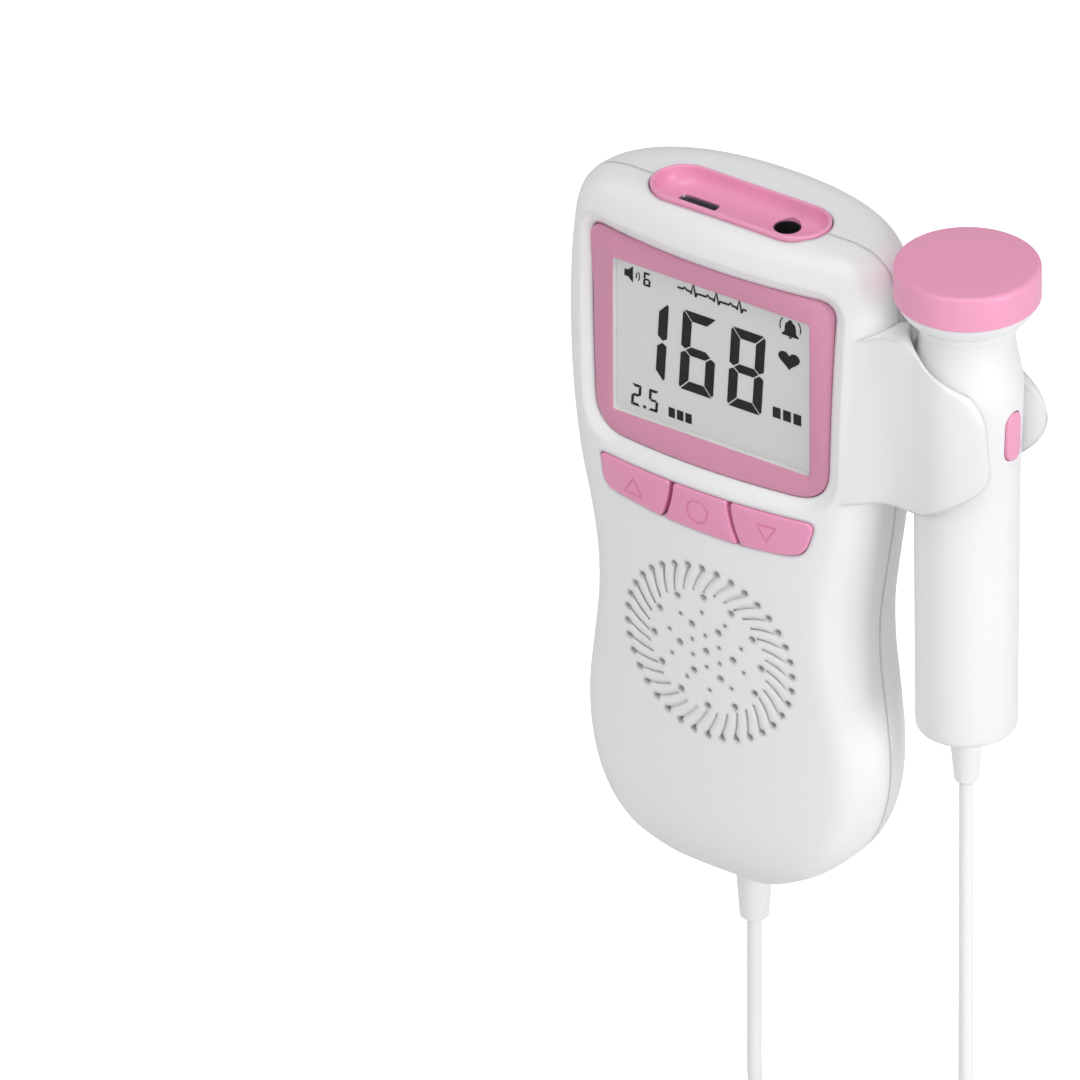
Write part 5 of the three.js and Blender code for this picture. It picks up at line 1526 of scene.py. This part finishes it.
class DOPPLER_OT_ports(bpy.types.Operator):
    """Adds the pink tray in the top with its two sockets"""

    bl_idname = "doppler.ports"
    bl_label = "Port tray"

    def execute(self, context):
        s = context.scene.doppler_body
        top = s.height + TRAY_PROUD
        floor = top - TRAY_DEPTH

        def level(inset, z):
            return [at(p.x, p.y, z) for p in stadium(TRAY_HALF[0] - inset, TRAY_HALF[1] - inset, -s.seam_top)]

        wide, tall = TRAY_RIM
        rings = [level(0, floor - 1.2 * MM), level(0, top - tall)]
        for k in range(1, 8):
            a = math.pi * k / 8
            rings.append(level(wide * (1 - math.cos(a)), top - tall + tall * math.sin(a)))
        dish = curve_through([Vector(p) for p in TRAY_DISH], 3)
        rings += [level(p.x * MM, top - p.y * MM) for p in dish]
        ends = (s.height - 8 * MM, s.height + 4 * MM)
        holes = (
            column("usb hole", self.socket_outline(0), *ends),
            column("jack hole", circle(*JACK, 48), *ends),
        )
        tray = combine(loft("port_tray_cup", rings), "DIFFERENCE", *holes)
        dressed(tray, "pink_abs", "pink_abs", "housing", "port_tray", angle=40)
        self.usb(floor)
        self.jack(floor)
        return {"FINISHED"}

    def socket_outline(self, inset):
        """The USB socket's outline: its two rear corners are cut more than its front ones."""
        x, y, half, thick = USB
        half, thick = half - inset, thick - inset
        corners = [
            (x - half, y - thick, thick * 0.5),
            (x + half, y - thick, thick * 0.5),
            (x + half, y + thick, thick * 0.9),
            (x - half, y + thick, thick * 0.9),
        ]
        return rounded_outline(corners, 6)

    def usb(self, floor):
        """The socket's plated shell, and the black block with the slot behind it."""

        def level(inset, z):
            return [at(p.x, p.y, z) for p in self.socket_outline(inset)]

        deep, floor = floor - 6 * MM, floor - 0.08 * MM
        out, shell = 0.02 * MM, 0.12 * MM
        rings = [level(out, deep), level(out, floor - 0.1 * MM), level(out + 0.08 * MM, floor)]
        rings += [level(shell, floor)]
        rings += [level(shell + 0.05 * MM, z) for z in (floor - 0.1 * MM, deep)]
        case = loft("usb_case", rings, looped=True)
        dressed(case, "steel", "steel", "housing", "usb_socket")
        x, y, half, _ = USB
        half -= 0.7 * MM
        outline = self.socket_outline(shell + 0.02 * MM)
        block = column("usb_tongue", outline, deep + 0.3 * MM, floor - 0.5 * MM)
        near, far = y - 0.9 * MM, y - 0.1 * MM
        slot = [(x - half, near), (x + half, near), (x + half, far), (x - half, far)]
        block = combine(block, "DIFFERENCE", column("slot", slot, deep + 1.2 * MM, floor + MM))
        dressed(block, "black_plastic", "black_plastic", "housing")

    def jack(self, floor):
        """The round socket: a black barrel with a ledge low in its bore and a closed base."""
        x, y, mouth = JACK
        floor -= 0.12 * MM
        foot, outside, bore = floor - 10 * MM, mouth - 0.06 * MM, 1.8 * MM
        profile = [
            (bore, foot),
            (outside, foot),
            (outside, floor - 0.08 * MM),
            (mouth - 0.14 * MM, floor),
            (mouth - 0.3 * MM, floor - 0.1 * MM),
            (mouth - 0.35 * MM, floor - 2.5 * MM),
            (bore, floor - 2.7 * MM),
        ]
        barrel = turned("jack_barrel", profile, x, y, 64)
        radius, thick = 2 * MM, 0.4 * MM
        base = turned("base", [(0, foot), (radius, foot), (radius, foot + thick), (0, foot + thick)], x, y, 48)
        barrel = joined("jack_barrel", [barrel, base])
        dressed(barrel, "black_plastic", "black_plastic", "housing", "audio_jack")


# Probe

HANDLE_TOP = 114 * MM  # where the handle is thickest, above the body's foot
HANDLE_FOOT_RADIUS = 8.9 * MM
HANDLE_FOOT_FILLET = 1.4 * MM
HANDLE_RADIUS = 9.1 * MM  # along its lower half
HANDLE_WALL = 1.8 * MM
NECK_FOOT = 124.5 * MM
BUTTON_HALF = (4.7 * MM, 2.05 * MM)
BUTTON_HEIGHT = 106.6 * MM
COLLAR_RADIUS, COLLAR_RIM_RADIUS = 8.3 * MM, 12.3 * MM
# The collar from its foot up, mm: the rolled bead past its own radius, then the flare by its radius
COLLAR_BEAD = ((0.05, 0.02), (0.55, 0.1), (0.75, 0.35), (0.75, 1.1), (0.55, 1.3), (0.45, 1.5), (0.6, 1.62))
COLLAR_FLARE = ((9.35, 1.68), (10.4, 2.25), (11.3, 3.1), (11.95, 4.2), (12.25, 5.0))
CAP_FACE = 1.4 * MM  # thickness of the cap's face


def handle_profile():
    """Radius and height of the probe's handle, from its foot up."""
    s = bpy.context.scene.doppler_probe
    foot, main, fillet = s.handle_foot, HANDLE_RADIUS, HANDLE_FOOT_FILLET

    def between(a, b, share):
        return a + (b - a) * share

    bends = [
        (HANDLE_FOOT_RADIUS, foot + fillet),
        (main, between(foot, HANDLE_TOP, 0.4)),
        (between(main, s.grip_radius, 0.2), between(foot, HANDLE_TOP, 0.74)),
        (between(main, s.grip_radius, 0.7), between(foot, HANDLE_TOP, 0.9)),
        (s.grip_radius, HANDLE_TOP),
        (between(s.grip_radius, s.neck_radius, 0.3), between(HANDLE_TOP, NECK_FOOT, 0.35)),
        (between(s.grip_radius, s.neck_radius, 0.75), between(HANDLE_TOP, NECK_FOOT, 0.68)),
        (s.neck_radius, NECK_FOOT),
        (s.neck_radius, s.collar_foot - 0.05 * MM),
    ]
    profile = []
    for a in (0, 0.4, 0.8, 1.2):
        inwards, down = fillet * (1 - math.sin(a)), fillet * (1 - math.cos(a))
        profile.append((HANDLE_FOOT_RADIUS - inwards, foot + down))
    return profile + [tuple(p) for p in curve_through([Vector(p) for p in bends], 6)]


def handle_radius(height):
    """The handle's radius at a height."""
    rows = handle_profile()
    for (r0, z0), (r1, z1) in zip(rows, rows[1:]):
        if z1 >= height:
            return r0 + (r1 - r0) * (height - z0) / max(z1 - z0, 1e-6)
    return rows[-1][0]


def button_shape(name, grow, inner, proud, edge):
    """A rounded oval on the handle's right side that follows its curve, from a flat back outwards."""
    s = bpy.context.scene.doppler_probe
    half_length, half_width = (half + grow for half in BUTTON_HALF)

    def ring(inset, out, flat=None):
        points = []
        for p in stadium(half_length - inset, half_width - inset, 0, 14):
            radius = handle_radius(BUTTON_HEIGHT) + out
            x = flat if flat is not None else math.sqrt(max(radius**2 - p.y**2, 0))
            points.append(at(s.x + x, s.y + p.y, BUTTON_HEIGHT + p.x))
        return points

    rings = [ring(0, 0, flat=inner)]
    rings += [ring(edge * inwards, proud - edge * down) for inwards, down in quarter_round(4)]
    rings.append(ring(half_width * 0.6, proud + 0.05 * MM))
    return loft(name, rings)


class DOPPLER_OT_probe(bpy.types.Operator):
    """Adds the probe: handle, head, pink cap and button"""

    bl_idname = "doppler.probe"
    bl_label = "Probe"

    def execute(self, context):
        s = context.scene.doppler_probe
        foot, wall = s.handle_foot, HANDLE_WALL
        outside = handle_profile()
        inside = [(r - wall, z) for r, z in outside if z > foot + 2 * MM]
        inside[0] = (inside[0][0], foot + wall)
        profile = [(0, foot)] + outside + inside[::-1] + [(0, foot + wall)]
        handle = turned("probe_shell", profile, s.x, s.y)
        hole = column("hole", circle(s.x, s.y, 2.4 * MM, 32), foot - 5 * MM, foot + 5 * MM)
        pocket = button_shape("pocket", 0.2 * MM, 5 * MM, 2 * MM, 0.1 * MM)
        handle = combine(handle, "DIFFERENCE", hole, pocket)
        dressed(handle, "white_abs", "white_abs", "probe", "probe_handle")
        button = button_shape("probe_key_cap", 0, 6.6 * MM, 0.5 * MM, 0.35 * MM)
        dressed(button, "pink_abs", "pink_abs", "probe_key", "probe_button")
        self.head(s)
        self.cap(s)
        return {"FINISHED"}

    def head(self, s):
        """The white head: a rolled bead over the neck, then a flare up to the cap."""
        foot, radius = s.collar_foot, COLLAR_RIM_RADIUS
        under = s.cap_top - s.cap_height - 0.2 * MM
        bead = [(COLLAR_RADIUS + r * MM, foot + z * MM) for r, z in COLLAR_BEAD]
        flare = [Vector((r * MM, foot + z * MM)) for r, z in COLLAR_FLARE] + [Vector((radius, under))]
        wall, rim = 0.6 * MM, s.cap_top - CAP_FACE - 0.3 * MM
        plug, bore = 5.8 * MM, 4.2 * MM
        profile = [(bore, foot - 4 * MM), (plug, foot - 4 * MM), (plug, foot)]
        profile += bead + [tuple(p) for p in curve_through(flare, 6)]
        profile += [(radius - wall, under), (radius - wall, rim), (radius - 3 * wall, rim)]
        profile += [(radius - 3 * wall, under - 0.5 * MM), (bore, foot + 3.8 * MM)]
        head = turned("probe_collar", profile, s.x, s.y)
        dressed(head, "white_abs", "white_abs", "probe", "probe_head")

    def cap(self, s):
        """The pink cap over the head, with a rounded upper edge."""
        foot, top, radius, fillet = s.cap_top - s.cap_height, s.cap_top, s.cap_radius, 0.9 * MM
        inside, crown = COLLAR_RIM_RADIUS - 0.3 * MM, top + 0.02 * MM
        profile = [(inside, foot), (radius - 0.2 * MM, foot), (radius, foot + 0.2 * MM)]
        profile += [(radius - fillet * inwards, top - fillet * down) for inwards, down in quarter_round(6)]
        profile += [(radius * 0.6, crown), (0, crown), (0, top - CAP_FACE), (inside, top - CAP_FACE)]
        cap = turned("probe_face", profile, s.x, s.y)
        dressed(cap, "pink_abs", "pink_abs", "probe", "probe_cap")


# Strain reliefs


def relief_piece(name, x, y, foot, tip_length, radius, end_radius, body, node):
    """A tapered boot that hangs below a foot, with a rounded tip and a plug that holds it."""
    tip, fillet = foot - tip_length, 0.5 * MM
    profile = [(0.0, tip)]
    profile += [(end_radius - fillet * down, tip + fillet * inwards) for inwards, down in quarter_round(4)]
    profile += [(radius - 0.05 * MM, foot - tip_length / 5), (radius, foot - tip_length / 6)]
    profile += [(radius, foot - 0.1 * MM), (end_radius * 0.9, foot - 0.1 * MM)]
    profile += [(end_radius * 0.9, foot + 3 * MM), (0.0, foot + 3 * MM)]
    piece = turned(name, profile, x, y, 64)
    dressed(piece, "cable_pvc", "cable_pvc", body, node)


class DOPPLER_OT_reliefs(bpy.types.Operator):
    """Adds the strain reliefs at both ends of the cable"""

    bl_idname = "doppler.reliefs"
    bl_label = "Strain reliefs"

    def execute(self, context):
        p = context.scene.doppler_probe
        foot = p.handle_foot
        relief_piece("body_boot", 0, 0, 0, 9.2 * MM, 3.15 * MM, 2.6 * MM, "housing", "body_relief")
        relief_piece("probe_boot", p.x, p.y, foot, 10.9 * MM, 3 * MM, 2.2 * MM, "probe", "probe_relief")
        return {"FINISHED"}


# Inside

# CAD nodes that show as they are, and their finishes
CAD_FINISHES = {
    "lcd_backlight": "diffuser",
    "key_switch_up": "black_plastic",
    "key_switch_select": "black_plastic",
    "key_switch_down": "black_plastic",
    "main_board": "board",
    "board_screw_1": "steel",
    "board_screw_2": "steel",
    "speaker_frame": "black_plastic",
    "speaker_cone": "paper",
    "speaker_magnet": "steel",
    "battery": "pouch",
    "case_screw_1": "steel",
    "case_screw_2": "steel",
    "case_screw_3": "steel",
    "case_screw_4": "steel",
    "crystal_send": "ceramic",
    "crystal_receive": "ceramic",
    "crystal_backing": "black_plastic",
    "probe_board": "board",
    "probe_switch": "black_plastic",
    "hank_tie": "black_plastic",
}


class DOPPLER_OT_inside(bpy.types.Operator):
    """Gives the pieces inside and the small hardware their finishes"""

    bl_idname = "doppler.inside"
    bl_label = "Inside"

    def execute(self, context):
        for node, kind in CAD_FINISHES.items():
            piece = frame["nodes"][node]
            piece.data.materials.clear()
            piece.data.materials.append(material_of(kind))
            for face in piece.data.polygons:
                face.material_index = 0
            piece.data.set_sharp_from_angle(angle=math.radians(35))
        return {"FINISHED"}


# Studio

FLOOR_HALF = 40  # m
WORLD_LEVEL = 0.41  # what lights the object: the camera sees the world as pure white
# Place, size in metres and power in watts. All of them point at the origin
LAMPS = (
    ("key lamp", (1.45, -0.15, 0.2), 0.65, 8.8),
    ("front lamp", (0, -1.2, 0.9), 0.8, 4.2),
    ("top lamp", (0.35, -0.4, 1.4), 0.7, 5.8),
)


class DOPPLER_OT_stage(bpy.types.Operator):
    """Adds the white floor, the world and the lamps"""

    bl_idname = "doppler.stage"
    bl_label = "Studio"

    def execute(self, context):
        self.floor(context)
        self.world(context)
        for name, spot, size, power in LAMPS:
            data = bpy.data.lights.new(name, "AREA")
            data.size, data.energy = size, power
            lamp = placed(name, data)
            lamp.location = spot
            lamp.rotation_euler = (-Vector(spot)).to_track_quat("-Z", "Y").to_euler()
        context.scene.view_settings.view_transform = "Standard"
        return {"FINISHED"}

    def floor(self, context):
        """White paper just under the hank: the camera sees it near pure white, and it keeps the shadow."""
        low = min(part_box("cord_hank")[0].z, 0) - 1.2 * MM
        corners = [(x * FLOOR_HALF, y * FLOOR_HALF, low) for x, y in ((-1, -1), (1, -1), (1, 1), (-1, 1))]
        floor = mesh_object("floor", corners, [(0, 1, 2, 3)])
        material, tree = new_material("white studio paper")
        place = add_node(tree, "ShaderNodeTexCoord").outputs["Object"]
        fine = {"Scale": 1 / (2 * MM), "Detail": 2.0}
        pulp = add_node(tree, "ShaderNodeTexNoise", fine, {"Vector": place})
        tone = add_node(
            tree,
            "ShaderNodeMapRange",
            {"To Min": 0.9, "To Max": 0.93},
            {"Value": pulp.outputs["Fac"]},
        )
        matt = {"Roughness": 1.0}
        paper = add_node(tree, "ShaderNodeBsdfDiffuse", matt, {"Color": tone.outputs["Result"]})
        ray = add_node(tree, "ShaderNodeLightPath")
        seen = add_node(
            tree,
            "ShaderNodeMath",
            {"operation": "MAXIMUM"},
            {0: ray.outputs["Is Camera Ray"], 1: ray.outputs["Is Transmission Ray"]},
        )
        lift = {"operation": "MULTIPLY", 1: 0.72}
        share = add_node(tree, "ShaderNodeMath", lift, {0: seen.outputs[0]})
        pure = {"Color": (1, 1, 1, 1)}
        white = add_node(tree, "ShaderNodeEmission", pure, {"Strength": share.outputs[0]})
        both = add_node(
            tree,
            "ShaderNodeAddShader",
            links={0: paper.outputs["BSDF"], 1: white.outputs["Emission"]},
        )
        add_node(tree, "ShaderNodeOutputMaterial", links={"Surface": both.outputs["Shader"]})
        floor.data.materials.append(material)

    def world(self, context):
        """An even white sky."""
        world = bpy.data.worlds.new("studio")
        context.scene.world = world
        world.use_nodes = True
        tree = world.node_tree
        tree.nodes.clear()
        ray = add_node(tree, "ShaderNodeLightPath")
        level = {"To Min": WORLD_LEVEL, "To Max": 1.0}
        seen = add_node(tree, "ShaderNodeMapRange", level, {"Value": ray.outputs["Is Camera Ray"]})
        pure = {"Color": (1, 1, 1, 1)}
        sky = add_node(tree, "ShaderNodeBackground", pure, {"Strength": seen.outputs["Result"]})
        add_node(tree, "ShaderNodeOutputWorld", links={"Surface": sky.outputs["Background"]})


# Add-on


class DOPPLER_PT_panel(bpy.types.Panel):
    """Lists the doppler's pieces"""

    bl_label = "Fetal Doppler Monitor"
    bl_space_type = "VIEW_3D"
    bl_region_type = "UI"
    bl_category = "Doppler"

    def draw(self, context):
        for operator in OPERATORS:
            self.layout.operator(operator.bl_idname)
        for name in GROUPS:
            group = getattr(context.scene, name)
            for field in group.bl_rna.properties.keys():
                if field not in ("rna_type", "name"):
                    self.layout.prop(group, field)


GROUPS = {
    "doppler_body": DopplerBodySizes,
    "doppler_screen": DopplerScreenSizes,
    "doppler_keys": DopplerKeySizes,
    "doppler_grille": DopplerGrilleSizes,
    "doppler_probe": DopplerProbeSizes,
    "doppler_cord": DopplerCordSizes,
    "doppler_colours": DopplerColours,
}
OPERATORS = (
    DOPPLER_OT_camera,
    DOPPLER_OT_cord,
    DOPPLER_OT_stage,
    DOPPLER_OT_housing,
    DOPPLER_OT_screen,
    DOPPLER_OT_keys,
    DOPPLER_OT_ports,
    DOPPLER_OT_probe,
    DOPPLER_OT_reliefs,
    DOPPLER_OT_inside,
)


def register():
    """Registers the sizes, the operators and the panel."""
    for group in GROUPS.values():
        bpy.utils.register_class(group)
    for name, group in GROUPS.items():
        setattr(bpy.types.Scene, name, PointerProperty(type=group))
    for operator in OPERATORS:
        bpy.utils.register_class(operator)
    bpy.utils.register_class(DOPPLER_PT_panel)


def unregister():
    """Takes all of them out again."""
    bpy.utils.unregister_class(DOPPLER_PT_panel)
    for operator in OPERATORS[::-1]:
        bpy.utils.unregister_class(operator)
    for name, group in GROUPS.items():
        delattr(bpy.types.Scene, name)
        bpy.utils.unregister_class(group)


def main():
    """Builds the monitor and its studio."""
    register()
    bpy.ops.doppler.camera()
    bpy.ops.doppler.cord()
    bpy.ops.doppler.stage()
    bpy.ops.doppler.housing()
    bpy.ops.doppler.screen()
    bpy.ops.doppler.keys()
    bpy.ops.doppler.ports()
    bpy.ops.doppler.probe()
    bpy.ops.doppler.reliefs()
    bpy.ops.doppler.inside()
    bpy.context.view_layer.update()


if __name__ == "__main__":
    main()
